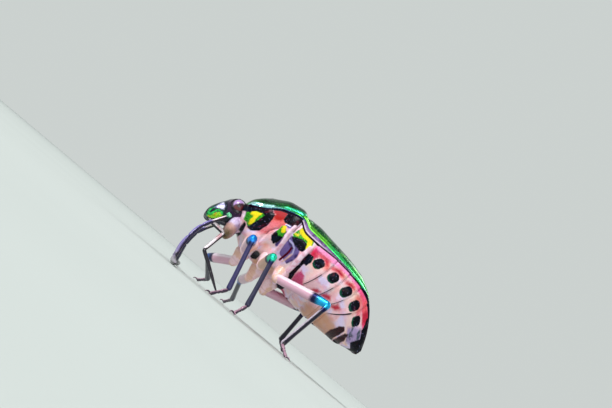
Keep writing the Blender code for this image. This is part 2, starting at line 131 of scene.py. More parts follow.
# The belly's chart: (behind, down along the skin from just under the side rim). A stroke is its half
# width and then the line that it follows, and a patch is its corners
ABDOMEN_SPOTS = (
    (0.31, (7.22, 1.12), (7.28, 0.98)),
    (0.31, (8.45, 1.08), (8.52, 0.94)),
    (0.28, (9.58, 1.1), (9.7, 0.84)),
    (0.25, (10.55, 1.17), (10.68, 0.83)),
    (0.22, (11.32, 1.26), (11.46, 0.92)),
)
SPOT_SHIFT = (0.06, -0.14)  # how far a spot's black lies from the middle of its green
STERNITE_SUTURES = ((7.95, 0.14), (9.05, 0.17), (10.1, 0.27), (11.1, 0.38), (12.05, 0.2))
CHART_START = 0.05  # below the side rim
SUTURE_REACH = 0.6  # down from the edge, where a suture starts to bend forward
THORAX_CREASES = (
    ((3.95, 0.3), (4.02, 0.92), (3.98, 1.25), (3.79, 1.49), (3.67, 1.7), (3.66, 2.1), (3.7, 4.4)),
    ((4.84, 0.2), (4.8, 0.7), (4.82, 1.3), (4.92, 1.95), (4.99, 2.5), (4.92, 4.5)),
    ((6.42, 0.2), (6.46, 1.6), (6.42, 3.4), (6.3, 4.5)),
)
BROWN_LINES = (
    ((3.98, 1.25), (3.79, 1.49), (3.67, 1.7), (3.67, 1.97)),
    ((4.84, 0.2), (4.8, 0.7), (4.8, 0.95)),
)
BLACK_PATCHES = (
    ((1.2, 0.5), (1.2, -0.1), (2.9, -0.1), (3.02, 0.22), (3.25, 0.5), (3.36, 0.85), (3.4, 1.3),
     (3.25, 1.88), (2.88, 1.9), (2.6, 1.7), (2.4, 1.4), (2.2, 0.9), (2.0, 0.7), (1.8, 0.7)),
    ((2.19, 1.3), (2.4, 1.6), (2.53, 2.39), (2.56, 3.1), (2.4, 2.8), (2.26, 2.1)),
    ((3.72, -0.1), (4.72, -0.1), (4.74, 0.3), (4.7, 0.7), (4.3, 0.78), (4.0, 0.74), (3.85, 0.62)),
    ((3.98, 1.63), (4.1, 1.2), (4.5, 1.2), (4.6, 1.7), (4.54, 2.16), (4.41, 2.44), (4.14, 2.25), (3.98, 1.9)),
    ((4.9, 1.16), (5.1, 0.8), (5.5, 0.5), (5.95, 0.55), (6.12, 0.95), (6.02, 1.2), (5.78, 1.3),
     (5.43, 1.2), (5.09, 1.24)),
    ((6.3, 1.0), (6.74, 0.92), (6.88, 1.3), (6.8, 1.7), (6.4, 1.7), (6.32, 1.3)),
    ((6.42, 1.5), (6.62, 1.5), (6.62, 2.0), (6.65, 2.7), (6.84, 3.46), (6.92, 4.6), (6.3, 4.6),
     (6.35, 3.5), (6.4, 2.87), (6.42, 2.1)),
    ((12.15, 1.6), (12.4, 0.5), (12.5, -0.1), (13.1, -0.1), (13.1, 2.0), (12.5, 1.7)),
    ((11.7, -0.1), (11.76, 0.26), (12.0, 0.5), (12.5, 0.55), (12.5, -0.1)),
    ((3.94, 3.7), (4.14, 3.66), (4.33, 4.1), (4.36, 5.0), (3.98, 5.0), (3.92, 4.1)),
)
GOLD_PATCHES = (
    ((1.9, 0.55), (1.95, 1.0), (2.42, 1.5), (2.6, 1.52), (2.66, 1.25), (2.76, 0.98), (2.86, 0.62),
     (2.7, 0.46), (2.37, 0.34), (2.06, 0.45)),
    ((4.0, 1.02), (4.24, 0.92), (4.46, 1.22), (4.54, 1.62), (4.3, 1.72), (4.04, 1.5)),
    ((4.85, 1.05), (4.93, 0.7), (5.0, 0.24), (5.34, 0.14), (5.8, 0.16), (6.14, 0.3), (6.3, 0.95),
     (6.06, 0.95), (5.86, 0.64), (5.48, 0.6), (5.16, 0.85), (5.03, 1.08)),
)
YELLOW_STROKES = (
    (0.13, (2.24, 0.5), (2.5, 0.62), (2.52, 0.95), (2.58, 1.28)),
    (0.1, (2.2, 0.47), (2.6, 0.5)),
    (0.13, (4.22, 1.05), (4.32, 1.32)),
    (0.15, (5.1, 0.42), (5.4, 0.34), (5.9, 0.38), (6.14, 0.8)),
    (0.06, (4.94, 0.92), (5.12, 0.76)),
)
GLINT_STROKES = ((0.012, (4.14, 0.85), (4.25, 0.82), (4.42, 0.81)),)
VIOLET_PATCHES = (
    ((4.12, 0.8), (4.5, 0.74), (4.6, 0.9), (4.4, 0.98), (4.16, 0.92)),
    ((4.6, 1.26), (4.68, 1.15), (4.78, 1.63), (4.86, 2.25), (4.62, 2.5), (4.5, 2.36), (4.56, 1.87)),
    ((4.86, 1.15), (5.4, 1.12), (5.86, 1.16), (6.05, 1.67), (5.99, 2.19), (5.88, 2.56), (5.62, 2.5),
     (5.2, 2.55), (5.05, 2.5), (4.92, 1.75)),
)
PALE_BARS = (
    (0.12, (4.66, 0.66), (4.63, 1.0), (4.7, 1.5), (4.8, 2.01), (4.84, 2.5), (4.74, 3.1)),
    (0.16, (6.24, 0.7), (6.2, 1.47), (6.24, 2.49), (6.2, 3.7)),
)
PERITREME = ((5.0, 1.4), (5.28, 1.27), (5.54, 1.36), (5.69, 1.7), (5.66, 2.1), (5.6, 2.6))
SCENT_SLIT = ((5.4, 1.52), (5.46, 1.8), (5.45, 2.14), (5.4, 2.74))
RED_PATCHES = (
    ((2.85, -0.1), (3.8, -0.1), (3.88, 0.5), (3.75, 0.75), (3.45, 0.8), (3.15, 0.5)),
    ((8.06, 2.62), (8.26, 2.26), (8.54, 2.2), (8.42, 2.51)),
    ((8.65, 2.41), (8.91, 2.02), (9.19, 1.89), (9.32, 2.08), (9.1, 2.21), (8.79, 2.36)),
    ((9.57, 2.34), (9.88, 1.88), (10.16, 1.91), (9.95, 2.28)),
    ((11.36, 0.5), (11.5, -0.1), (12.0, -0.1), (12.0, 0.2), (11.75, 0.6)),
    ((6.44, 0.72), (6.68, 0.64), (6.82, 0.84), (6.6, 0.98)),
    ((6.99, 0.57), (7.55, 0.5), (7.74, 0.74), (7.6, 0.76), (7.3, 0.63), (7.05, 0.7)),
    ((8.04, 0.67), (8.41, 0.41), (8.81, 0.47), (8.75, 0.6), (8.41, 0.57), (8.16, 0.7)),
    ((9.28, 0.59), (9.56, 0.4), (9.78, 0.41), (9.68, 0.52), (9.47, 0.57)),
)
BLUSH_STROKES = (
    (0.34, (3.25, 0.8), (3.5, 0.85), (3.85, 0.95)),
    (0.22, (3.55, 0.9), (3.62, 1.4), (3.45, 1.8)),
    (0.1, (7.0, 0.6), (7.62, 0.58), (7.8, 0.9)),
    (0.1, (8.1, 0.6), (8.5, 0.46), (8.86, 0.56)),
    (0.1, (9.3, 0.55), (9.6, 0.44), (9.85, 0.5)),
    (0.24, (10.6, 0.55), (11.1, 0.75)),
    (0.2, (11.0, 0.3), (11.3, 0.3)),
)
MAGENTA_PATCHES = (
    ((6.79, 2.14), (7.19, 2.33), (7.54, 2.95), (7.19, 3.6), (6.79, 3.75), (6.7, 2.78)),
    ((6.42, 0.42), (6.9, 0.5), (6.96, 0.8), (6.84, 1.15), (6.6, 1.2), (6.4, 0.9)),
)
BROWN_PATCHES = (
    ((10.68, 4.6), (10.7, 3.45), (10.92, 2.5), (11.16, 2.1), (11.34, 2.14), (11.3, 2.7), (11.2, 3.7)),
    ((11.38, 3.6), (11.36, 2.75), (11.46, 2.12), (11.66, 1.8), (11.8, 2.37), (11.7, 3.28)),
    ((4.42, 0.5), (4.66, 0.3), (4.74, 0.6), (4.62, 0.72), (4.42, 0.68)),
)
GREY_PATCHES = (((11.35, 1.8), (11.62, 1.1), (12.05, 0.5), (12.5, 0.2), (12.45, 1.2), (11.95, 2.2)),)
MARGIN_DEPTH = ((6.4, 0.75), (6.9, 0.62), (7.6, 0.5), (8.4, 0.38), (9.2, 0.3), (9.9, 0.32), (10.5, 0.4),
                (11.2, 0.54))
PEACH_STROKES = ((0.8, (9.2, 4.2), (9.9, 3.7), (10.5, 3.6)), (0.5, (4.6, 3.9), (5.4, 4.2)),
                 (0.05, (4.1, 2.75), (4.2, 3.0)))

# How far the underside's features stand out or lie sunk
SUTURE_DEPTH = 0.05
PLATE_STEP = 0.06
SPOT_SWELLING = 0.04
CREASE_DEPTH = 0.08
BAR_HEIGHT = 0.1
PERITREME_HEIGHT = 0.06
SLIT_DEPTH = 0.12
HIP_SWELLING = 0.24
SHOULDER_SWELLING = 0.08
FURROW_DEPTH = 0.06

# The throat: the middle of its side view (behind, height), and its halves along, across and to the side
THROAT_MIDDLE = (1.84, -1.98)
THROAT_LEAN = 0.16
THROAT_HALVES = (0.86, 0.43, 1.08)
THROAT_GROOVE = 0.16
THROAT_POWER = 2.6

# The head's side view: (forward, up)
HEAD_GREEN = (((2.4, -0.09), (2.34, 0.11), (2.21, 0.17), (1.85, 0.19), (1.73, 0.05), (1.46, -0.17),
               (1.46, -0.35), (1.79, -0.44), (2.22, -0.4), (2.38, -0.26)),)
HEAD_LIME = (((2.33, -0.27), (2.11, -0.29), (2.01, -0.17), (1.71, -0.13), (1.48, -0.28), (1.56, -0.4),
              (1.88, -0.42), (2.23, -0.39)),)
# The painted highlight on the head's side: a pale patch for the sky's reflection
HEAD_HIGHLIGHT = (((2.04, 0.17), (1.66, 0.5), (1.36, 0.66), (1.36, 0.23), (1.39, 0.0), (1.56, -0.02),
               (1.75, 0.14), (1.89, 0.19)),)
HEAD_DARK = (
    ((1.32, 0.75), (1.22, 0.8), (1.21, 0.18), (1.24, -0.09), (1.4, -0.25), (1.4, 0.0)),
    ((2.26, -0.08), (2.06, 0.16), (1.82, 0.2), (1.77, 0.02), (2.02, -0.06), (2.17, -0.18)),
)


def paint(red, green, blue):
    """A colour from its values on a screen, 0 to 255."""
    parts = [value / 255 for value in (red, green, blue)]
    lit = [p / 12.92 if p < 0.04045 else ((p + 0.055) / 1.055) ** 2.4 for p in parts]
    return (*lit, 1.0)


# Curves and frames


def smooth_curve(table):
    """A function through a table of points that never overshoots between two of them."""
    xs, ys = (np.array(column, float) for column in zip(*table))
    steps = np.diff(xs)
    slopes = np.diff(ys) / steps
    before, after = slopes[:-1], slopes[1:]
    turning = before * after <= 0
    total = np.where(turning, 1.0, before + after)
    middle = np.where(turning, 0.0, 2 * before * after / total)
    bends = np.concatenate(([slopes[0]], middle, [slopes[-1]]))

    def value(x):
        x = np.clip(x, xs[0], xs[-1])
        i = np.clip(np.searchsorted(xs, x, side="right") - 1, 0, len(steps) - 1)
        t = (x - xs[i]) / steps[i]
        rise = (3 - 2 * t) * t * t
        lead = steps[i] * t * (1 - t) * ((1 - t) * bends[i] - t * bends[i + 1])
        return ys[i] + (ys[i + 1] - ys[i]) * rise + lead

    return value


half_width = smooth_curve(HALF_WIDTH)
rim = smooth_curve(RIM)
pronotum_back = smooth_curve(PRONOTUM_BACK)
scutellum_back = smooth_curve(SCUTELLUM_BACK)
belly = smooth_curve(BELLY)
shell_lift = smooth_curve(SHELL_LIFT)
belly_drop = smooth_curve(BELLY_DROP)
margin_depth = smooth_curve(MARGIN_DEPTH)
head_top = smooth_curve(HEAD_TOP)
head_bottom = smooth_curve(HEAD_BOTTOM)
head_half_width = smooth_curve(HEAD_HALF_WIDTH)

body_pose = Matrix.Translation(Vector((*MIDDLE, RIDE_HEIGHT)))
body_pose @= Euler((-LEAN, NOSE_UP, 0)).to_matrix().to_4x4()
body_pose @= Matrix.Translation((-BODY_LENGTH / 2, 0, 0))
head_forward = Vector((-math.cos(HEAD_DROOP), 0, -math.sin(HEAD_DROOP)))
head_up = Vector((-math.sin(HEAD_DROOP), 0, math.cos(HEAD_DROOP)))
head_turn = Matrix((head_forward, Vector((0, -1, 0)), head_up)).transposed().to_4x4()
head_pose = Matrix.Translation(NECK) @ head_turn


def moved(pose, places):
    """Places, one to a row, taken through a pose."""
    pose = np.array(pose)
    return np.asarray(places, float) @ pose[:3, :3].T + pose[:3, 3]


def stack(*columns):
    return np.stack(np.broadcast_arrays(*columns), axis=-1)


def fade(values, full, none):
    """1 at full and beyond, 0 at none and beyond, and smooth between them."""
    t = np.clip((values - none) / (full - none), 0, 1)
    return t * t * (3 - 2 * t)


def bell(values, width):
    """1 at nought, and less on both sides of it."""
    return np.exp(-((values / width) ** 2))


def rounded(share):
    """1 up to nought, and then down a quarter of a circle to 0 at one."""
    return np.sqrt(1 - np.clip(share, 0, 1) ** 2)


def from_line(places, line):
    """How far each place is from the line through some points."""
    line = [np.array(point, float) for point in line]
    ends = line[1:] if len(line) > 1 else line
    nearest = np.full(len(places), np.inf)
    for a, b in zip(line, ends):
        run = b - a
        t = np.clip((places - a) @ run / max(run @ run, 1e-12), 0, 1)
        nearest = np.minimum(nearest, np.linalg.norm(places - a - t[:, None] * run, axis=1))
    return nearest


def from_strokes(places, strokes, softness=0.03):
    """How far each place is from the strokes' edge, below zero inside. Those that meet run together."""
    total = sum(np.exp((half - from_line(places, line)) / softness) for half, *line in strokes)
    return -softness * np.log(total + 1e-300)


def from_patches(places, patches):
    """How far each place is from the patches' outline, below zero inside."""
    x, y = places[:, 0], places[:, 1]
    nearest = np.full(len(places), np.inf)
    for corners in patches:
        inside = np.zeros(len(places), bool)
        for (xa, ya), (xb, yb) in zip(corners, (*corners[1:], corners[0])):
            between = (ya > y) != (yb > y)
            inside ^= between & (x < (xb - xa) * (y - ya) / (yb - ya + 1e-12) + xa)
        away = from_line(places, (*corners, corners[0]))
        nearest = np.minimum(nearest, np.where(inside, -away, away))
    return nearest


# Mesh making


def moulded(mesh, rows, columns, surface, relief=None, marks=None, pose=None):
    """Adds a skin to the mesh: a grid whose points surface(u, v) puts in place and relief(u, v)
    raises. Marks are the values that its material reads. The pose takes it into the room."""
    kinds = {}
    for name, value in (marks(np.zeros(1), np.zeros(1)) if marks else {}).items():
        kinds[name] = mesh.verts.layers.float_vector if value.ndim == 2 else mesh.verts.layers.float
        if name not in kinds[name].keys():
            kinds[name].new(name)
    grid = bmesh.ops.create_grid(mesh, x_segments=rows, y_segments=columns, size=1)["verts"]
    flat = np.array([vertex.co[:2] for vertex in grid])
    u, v = (flat.T + 1) / 2
    places = surface(u, v)
    if relief is not None:
        step = 1e-3
        along = surface(np.minimum(u + step, 1), v) - surface(np.maximum(u - step, 0), v)
        across = surface(u, np.minimum(v + step, 1)) - surface(u, np.maximum(v - step, 0))
        out = np.cross(along, across)
        out /= np.maximum(np.linalg.norm(out, axis=1), 1e-12)[:, None]
        places = places + out * relief(u, v)[:, None]
    if pose is not None:
        places = moved(pose, places)
    for vertex, place in zip(grid, places * MM):
        vertex.co = place
    for name, values in (marks(u, v) if marks else {}).items():
        layer = kinds[name][name]
        for vertex, value in zip(grid, values):
            vertex[layer] = value
    bmesh.ops.remove_doubles(mesh, verts=grid, dist=1e-7)


def closed(mesh):
    """Fills the open ends, and turns every face out."""
    rims = [edge for edge in mesh.edges if edge.is_boundary]
    bmesh.ops.holes_fill(mesh, edges=rims)
    mesh.normal_update()
    bmesh.ops.recalc_face_normals(mesh, faces=mesh.faces)


def piece(name, mesh, finish, nodes=(), sharp=60):
    """Makes the finished object, which rides on the body and stands for its nodes."""
    closed(mesh)
    data = bpy.data.meshes.new(name)
    mesh.to_mesh(data)
    mesh.free()
    data.shade_smooth()
    data.set_sharp_from_angle(angle=math.radians(sharp))
    data.materials.append(finish)
    obj = bpy.data.objects.new(name, data)
    bpy.context.scene.collection.objects.link(obj)
    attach(obj, "root")
    if nodes:
        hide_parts(*nodes)
    return obj


# Materials


class Signal:
    """A socket that takes part in sums as a number does."""

    def __init__(self, finish, socket):
        self.finish = finish
        self.socket = socket

    def maths(self, operation, first, second):
        return self.finish.node("ShaderNodeMath", {"operation": operation}, {0: first, 1: second})

    def __add__(self, other):
        return self.maths("ADD", self, other)

    def __sub__(self, other):
        return self.maths("SUBTRACT", self, other)

    def __rsub__(self, other):
        return self.maths("SUBTRACT", other, self)

    def __mul__(self, other):
        return self.maths("MULTIPLY", self, other)

    __radd__ = __add__
    __rmul__ = __mul__


class Finish:
    """A material in the making. Constants of its shader are set as it starts."""

    def __init__(self, name, **constants):
        self.material = bpy.data.materials.new(name)
        self.material.use_nodes = True
        self.tree = self.material.node_tree
        self.shader = self.tree.nodes["Principled BSDF"]
        for key, value in constants.items():
            self.shader.inputs[key.replace("_", " ").title().replace("Ior", "IOR")].default_value = value

    def node(self, kind, settings=None, inputs=None, output=0):
        made = self.tree.nodes.new(kind)
        for key, value in (settings or {}).items():
            setattr(made, key, value)
        for key, value in (inputs or {}).items():
            if isinstance(value, Signal):
                self.tree.links.new(value.socket, made.inputs[key])
            else:
                made.inputs[key].default_value = value
        return Signal(self, made.outputs[output])

    def field(self, name, output="Fac"):
        return self.node("ShaderNodeAttribute", {"attribute_name": name}, output=output)

    def room(self):
        """The place in the room, in millimetres."""
        place = self.node("ShaderNodeTexCoord", output="Object")
        return self.node("ShaderNodeVectorMath", {"operation": "SCALE"}, {0: place, 3: 1 / MM})

    def axis(self, vector, name):
        return self.node("ShaderNodeSeparateXYZ", {}, {0: vector}, output=name)

    def noise(self, place, scale, detail=2.0):
        return self.node("ShaderNodeTexNoise", {}, {"Vector": place, "Scale": scale, "Detail": detail})

    def cells(self, place, scale, jitter=1.0):
        """How far the place is from the middle of its cell."""
        inputs = {"Vector": place, "Scale": scale, "Randomness": jitter}
        return self.node("ShaderNodeTexVoronoi", {}, inputs)

    def fade(self, value, full, none):
        inputs = {0: value, 1: none, 2: full}
        return self.node("ShaderNodeMapRange", {"interpolation_type": "SMOOTHSTEP"}, inputs)

    def mix(self, first, second, share):
        inputs = {0: share, 6: first, 7: second}
        return self.node("ShaderNodeMix", {"data_type": "RGBA"}, inputs, output=2)

    def blend(self, first, second, share):
        inputs = {0: share, 2: first, 3: second}
        return self.node("ShaderNodeMix", {"data_type": "FLOAT"}, inputs)

    def set(self, **links):
        for key, value in links.items():
            self.tree.links.new(value.socket, self.shader.inputs[key.replace("_", " ").title()])
        return self

    def bump(self, height, depth):
        """Depth is in millimetres for a height that goes from 0 to 1."""
        made = self.node("ShaderNodeBump", {}, {"Height": height, "Distance": depth * MM})
        return self.set(normal=made)


def green_shell(name, flank_top, front_highlight, back_highlight, turn):
    """Punctured metal green with black marks. A painted highlight runs as a band along the lower edge, and
    the top is darker, partly its own colour and partly a painted dark reflection.
    """
    f = Finish(name, coat_weight=0.12, coat_roughness=0.1)
    lie = f.field("lie", "Vector")
    fine = f.noise(lie, 9.0, 3)
    edge = f.field("edge")
    pit = f.fade(f.cells(lie, PIT_SCALE), 0.04, 0.38)
    # The top is darker than the flank, partly its own colour and partly a painted dark reflection of the sky;
    # its bright green specks are painted glints on the raised skin between the pits
    top = f.mix(paint(2, 32, 26), paint(7, 78, 42), f.fade(f.noise(lie, 0.9, 3), 0.62, 0.4))
    top = f.mix(top, paint(50, 180, 90), f.fade(fine, 0.68, 0.56) * 0.5)
    flank = f.mix(paint(6, 96, 46), paint(64, 170, 46), f.fade(f.noise(lie, 1.3, 2), 0.66, 0.46))
    colour = f.mix(flank, top, f.fade(edge + (fine - 0.5) * 0.3, flank_top + 0.3, flank_top - 0.1))
    # Painted highlight: the lamps' reflection along the smooth lower edge, in a front and a back colour
    band = f.mix(front_highlight, back_highlight, f.fade(f.axis(lie, "X") + (fine - 0.5) * 0.4, turn + 0.4, turn - 0.4))
    highlight_band = f.fade(f.field("highlight_band") + (f.noise(lie, 3.0, 2) - 0.5) * 0.12, -0.07, 0.1)
    colour = f.mix(colour, band, highlight_band)
    colour = f.mix(colour, paint(50, 60, 150), f.fade(edge, 0.05, 0.1) * 0.8)
    colour = f.mix(colour, paint(28, 6, 40), f.fade(edge, 0.02, 0.05))
    pit = pit * (1 - highlight_band * 0.8)
    ink = f.fade(f.field("ink") + (fine - 0.5) * 0.1, -0.04, 0.05)
    colour = f.mix(colour, paint(4, 10, 20), ink)
    colour = f.mix(colour, paint(2, 24, 20), pit * 0.85)
    f.set(base_color=colour, metallic=f.blend(0.88, 0.5, ink), roughness=f.blend(0.2, 0.38, fine))
    f.bump(1 - pit + f.noise(lie, 30.0, 2) * 0.12, 0.03)
    return f.material


def underside_skin():
    """Pale rose plates with stipple, black and gold patches, red blushes and a violet field."""
    f = Finish("underside", coat_roughness=0.12, specular_ior_level=0.08)
    lie = f.field("lie", "Vector")
    wander = (f.noise(lie, 2.6, 3) - 0.5) * 0.16
    fine = f.noise(lie, 14.0, 3)
    ragged = wander + (fine - 0.5) * 0.16
    dots = f.fade(f.cells(lie, 12.0) + (fine - 0.5) * 0.5, 0.1, 0.4)
    streak = f.noise(lie, 24.0, 2)
    colour = f.mix(paint(242, 200, 208), paint(226, 208, 242), f.fade(f.noise(lie, 1.1, 2), 0.6, 0.42))
    colour = f.mix(colour, paint(240, 206, 170), f.fade(f.noise(lie, 0.8, 1), 0.66, 0.5) * 0.45)
    colour = f.mix(colour, paint(232, 126, 140), f.fade(f.noise(lie, 1.9, 2), 0.66, 0.5) * 0.35)
    colour = f.mix(colour, paint(206, 148, 108), f.fade(f.field("peach") + wander, -0.3, 0.3) * 0.8)
    margin = f.fade(f.field("margin") + ragged, -0.06, 0.06)
    blush = f.fade(f.field("blush") + wander, -0.14, 0.26)
    magenta = f.fade(f.field("magenta") + ragged, -0.1, 0.1)
    behind, down = f.axis(lie, "X"), f.axis(lie, "Y")
    pink = f.mix(paint(242, 142, 200), paint(246, 58, 132), f.fade(behind, 10.4, 9.2))
    colour = f.mix(colour, pink, margin * 0.9)
    flush = f.mix(paint(234, 92, 84), paint(222, 58, 40), f.fade(behind, 3.9, 4.2) * f.fade(down, 1.0, 1.4))
    colour = f.mix(colour, flush, blush * 0.8)
    crimson = f.mix(paint(206, 58, 116), paint(206, 16, 78), f.fade(down, 1.2, 1.5))
    colour = f.mix(colour, crimson, magenta * 0.92)
    rosy = f.node("ShaderNodeMath", {"operation": "MAXIMUM"}, {0: margin, 1: magenta})
    rosy = f.node("ShaderNodeMath", {"operation": "MAXIMUM"}, {0: rosy, 1: blush})
    colour = f.mix(colour, paint(186, 20, 60), dots * (rosy * 0.6 + f.fade(fine, 0.6, 0.42) * 0.35))
    red = f.mix(paint(170, 10, 2), paint(200, 18, 56), f.fade(behind, 6.4, 6.0))
    red = f.mix(red, paint(120, 10, 20), f.fade(streak, 0.64, 0.5) * 0.7)
    colour = f.mix(colour, red, f.fade(f.field("red") + ragged, -0.1, 0.16) * 0.96)
    grey = f.fade(f.field("grey") + ragged, -0.12, 0.12)
    slate = f.mix(paint(170, 146, 192), paint(58, 76, 88), f.fade(f.noise(lie, 2.4, 3), 0.6, 0.42))
    colour = f.mix(colour, slate, grey)
    violet = f.fade(f.field("violet") + wander * 0.5, -0.05, 0.04)
    lilac = f.mix(paint(116, 98, 164), paint(64, 48, 108), f.fade(f.noise(lie, 1.6, 3), 0.6, 0.44))
    colour = f.mix(colour, f.mix(lilac, paint(48, 34, 84), f.fade(streak, 0.66, 0.54) * 0.5), violet)
    field = f.field("ink") + ragged * 0.6
    black = f.fade(field, -0.02, 0.03)
    green = f.fade(f.field("sheen") + ragged, 0.08, -0.04) * f.fade(f.field("sheen"), 0.2, 0.26)
    pitch = f.mix(paint(3, 3, 14), paint(5, 16, 34), f.fade(f.noise(lie, 1.7, 2), 0.62, 0.5))
    pitch = f.mix(pitch, paint(90, 14, 40), f.fade(f.noise(lie, 2.3, 2), 0.72, 0.6) * 0.6)
    # Painted glints: lilac specks over the black, for the lamps' reflection in its pits
    pitch = f.mix(pitch, paint(160, 150, 210), f.fade(f.cells(lie, 9.0), 0.08, 0.18) * 0.7)
    colour = f.mix(colour, f.mix(pitch, paint(8, 84, 62), green * 0.9), black)
    gold = f.fade(f.field("gold") + ragged * 0.7, -0.02, 0.03)
    emerald = f.mix(paint(70, 186, 36), paint(12, 92, 32), f.fade(fine, 0.58, 0.44))
    bright = f.fade(f.field("yellow") + ragged, -0.05, 0.05)
    yellow = f.mix(paint(238, 226, 34), paint(232, 150, 24), f.fade(streak, 0.62, 0.5) * 0.75)
    colour = f.mix(colour, f.mix(emerald, yellow, bright), gold)
    brown = f.fade(f.field("brown") + ragged * 0.6, -0.04, 0.05)
    colour = f.mix(colour, f.mix(paint(66, 10, 24), paint(10, 4, 12), f.fade(fine, 0.56, 0.42)), brown)
    bar = f.fade(f.field("bar") + wander * 0.3, -0.06, 0.03)
    pale = f.mix(paint(250, 222, 240), paint(232, 180, 200), f.fade(f.noise(lie, 3.0, 3), 0.6, 0.4))
    colour = f.mix(colour, pale, bar)
    ridge = f.fade(f.field("ridge") + wander * 0.3, -0.04, 0.05)
    tint = f.mix(paint(186, 180, 226), paint(232, 190, 176), f.fade(down, 1.9, 1.6))
    colour = f.mix(colour, tint, ridge * 0.85)
    colour = f.mix(colour, paint(110, 14, 40), f.fade(f.field("slit") + ragged * 0.2, -0.01, 0.04))
    colour = f.mix(colour, paint(236, 240, 255), f.fade(f.field("glint") + ragged * 0.2, -0.01, 0.04))
    crease = f.fade(f.field("crease") + (fine - 0.5) * 0.1, 0.0, 0.05)
    colour = f.mix(colour, paint(120, 56, 66), crease * 0.7)
    colour = f.mix(colour, paint(34, 8, 28), f.fade(f.field("line"), 0.0, 0.03))
    bare = (1 - bar) * (1 - ridge)
    metal = (black * 0.05 + gold * 0.12) * bare
    f.set(base_color=colour, metallic=metal, roughness=f.blend(0.42, 0.3, black * bare))
    f.set(coat_weight=0.34 - black * 0.28)
    f.bump(((1 - dots) * 0.4 + fine * 0.4) * (1 - bar * 0.8), 0.013)
    return f.material


def head_skin():
    """Blue-black, with a green cheek, a painted pale highlight above it and a purple ring round the eye."""
    f = Finish("head_shell", coat_weight=0.4, coat_roughness=0.08)
    lie = f.field("lie", "Vector")
    fine = f.noise(lie, 9.0, 3)
    ragged = (fine - 0.5) * 0.2
    pit = f.fade(f.cells(lie, 9.0), 0.02, 0.36)
    colour = f.mix(paint(8, 66, 60), paint(14, 20, 54), f.fade(f.noise(lie, 2.0, 2), 0.6, 0.42))
    colour = f.mix(colour, paint(54, 26, 66), f.fade(f.field("eye") + ragged, 0.3, 0.6))
    colour = f.mix(colour, paint(22, 8, 26), f.fade(f.field("eye"), 0.02, 0.08))
    green = f.mix(paint(36, 206, 90), paint(6, 92, 56), f.fade(f.noise(lie, 4.0, 2), 0.62, 0.5))
    lime = f.mix(paint(170, 244, 34), paint(226, 170, 30), f.fade(f.noise(lie, 5.0, 2), 0.66, 0.56))
    green = f.mix(green, lime, f.fade(f.field("lime") + ragged, -0.05, 0.05))
    colour = f.mix(colour, green, f.fade(f.field("green") + ragged, -0.03, 0.04))
    ink = f.fade(f.field("ink") + ragged, -0.03, 0.03)
    colour = f.mix(colour, f.mix(paint(8, 10, 36), paint(8, 50, 56), f.fade(fine, 0.62, 0.5)), ink)
    # Painted highlight: a pale lavender patch for the sky's reflection on the side of the head
    painted_highlight = f.fade(f.field("painted_highlight") + ragged * 1.2, -0.1, 0.03)
    highlight_tint = f.mix(paint(226, 222, 250), paint(150, 140, 210), f.fade(f.noise(lie, 3.0, 2), 0.64, 0.44))
    colour = f.mix(colour, highlight_tint, painted_highlight)
    colour = f.mix(colour, paint(4, 16, 24), pit * 0.6 * (1 - painted_highlight))
    f.set(base_color=colour, metallic=f.blend(0.7, 0.15, painted_highlight), roughness=f.blend(0.2, 0.38, fine))
    f.bump(1 - pit, 0.014)
    return f.material


def throat_skin():
    """Lilac, going down to olive brown."""
    f = Finish("throat", coat_weight=0.25, coat_roughness=0.2)
    lie = f.field("lie", "Vector")
    fine = f.noise(lie, 10.0, 3)
    colour = f.mix(paint(214, 198, 232), paint(178, 150, 190), f.fade(f.noise(lie, 2.4, 3), 0.62, 0.4))
    low = f.field("low") + (fine - 0.5) * 0.4
    colour = f.mix(colour, paint(196, 150, 140), f.fade(low, 0.5, 0.1))
    colour = f.mix(colour, paint(104, 80, 36), f.fade(low, 0.95, 0.55))
    f.set(base_color=colour, roughness=f.blend(0.34, 0.5, fine))
    f.bump(fine, 0.02)
    return f.material


def eye_glaze():
    """Fine facets over dark red-brown, with a painted lilac reflection above, and a dark spot like a pupil.
    """
    f = Finish("eye", coat_weight=0.7, coat_roughness=0.06, specular_ior_level=0.6)
    lie = f.field("lie", "Vector")
    facet = f.cells(lie, 36.0, 0.25)
    blot = (f.noise(lie, 5.0, 2) - 0.5) * 0.2
    forward, height = f.axis(lie, "X"), f.axis(lie, "Z")
    colour = f.mix(paint(112, 34, 36), paint(66, 24, 44), f.fade(height + blot, -0.02, -0.2))
    # Painted reflection: lilac over the upper, forward part, for the sky seen in the eye
    colour = f.mix(colour, paint(200, 158, 224), f.fade(height + forward * 0.3 + blot, 0.14, 0.0) * 0.9)
    aside, above = forward - 0.06, height + 0.08
    colour = f.mix(colour, paint(40, 8, 16), f.fade(aside * aside + above * above + blot * 0.02, 0.007, 0.02))
    rim = f.fade(forward * forward + height * height + blot * 0.1, 0.16, 0.11)
    colour = f.mix(colour, paint(44, 16, 40), rim)
    colour = f.mix(colour, paint(14, 6, 14), f.fade(facet, 0.62, 0.3) * 0.22)
    f.set(base_color=colour, roughness=f.blend(0.2, 0.38, facet))
    f.bump(1 - facet, 0.007)
    return f.material


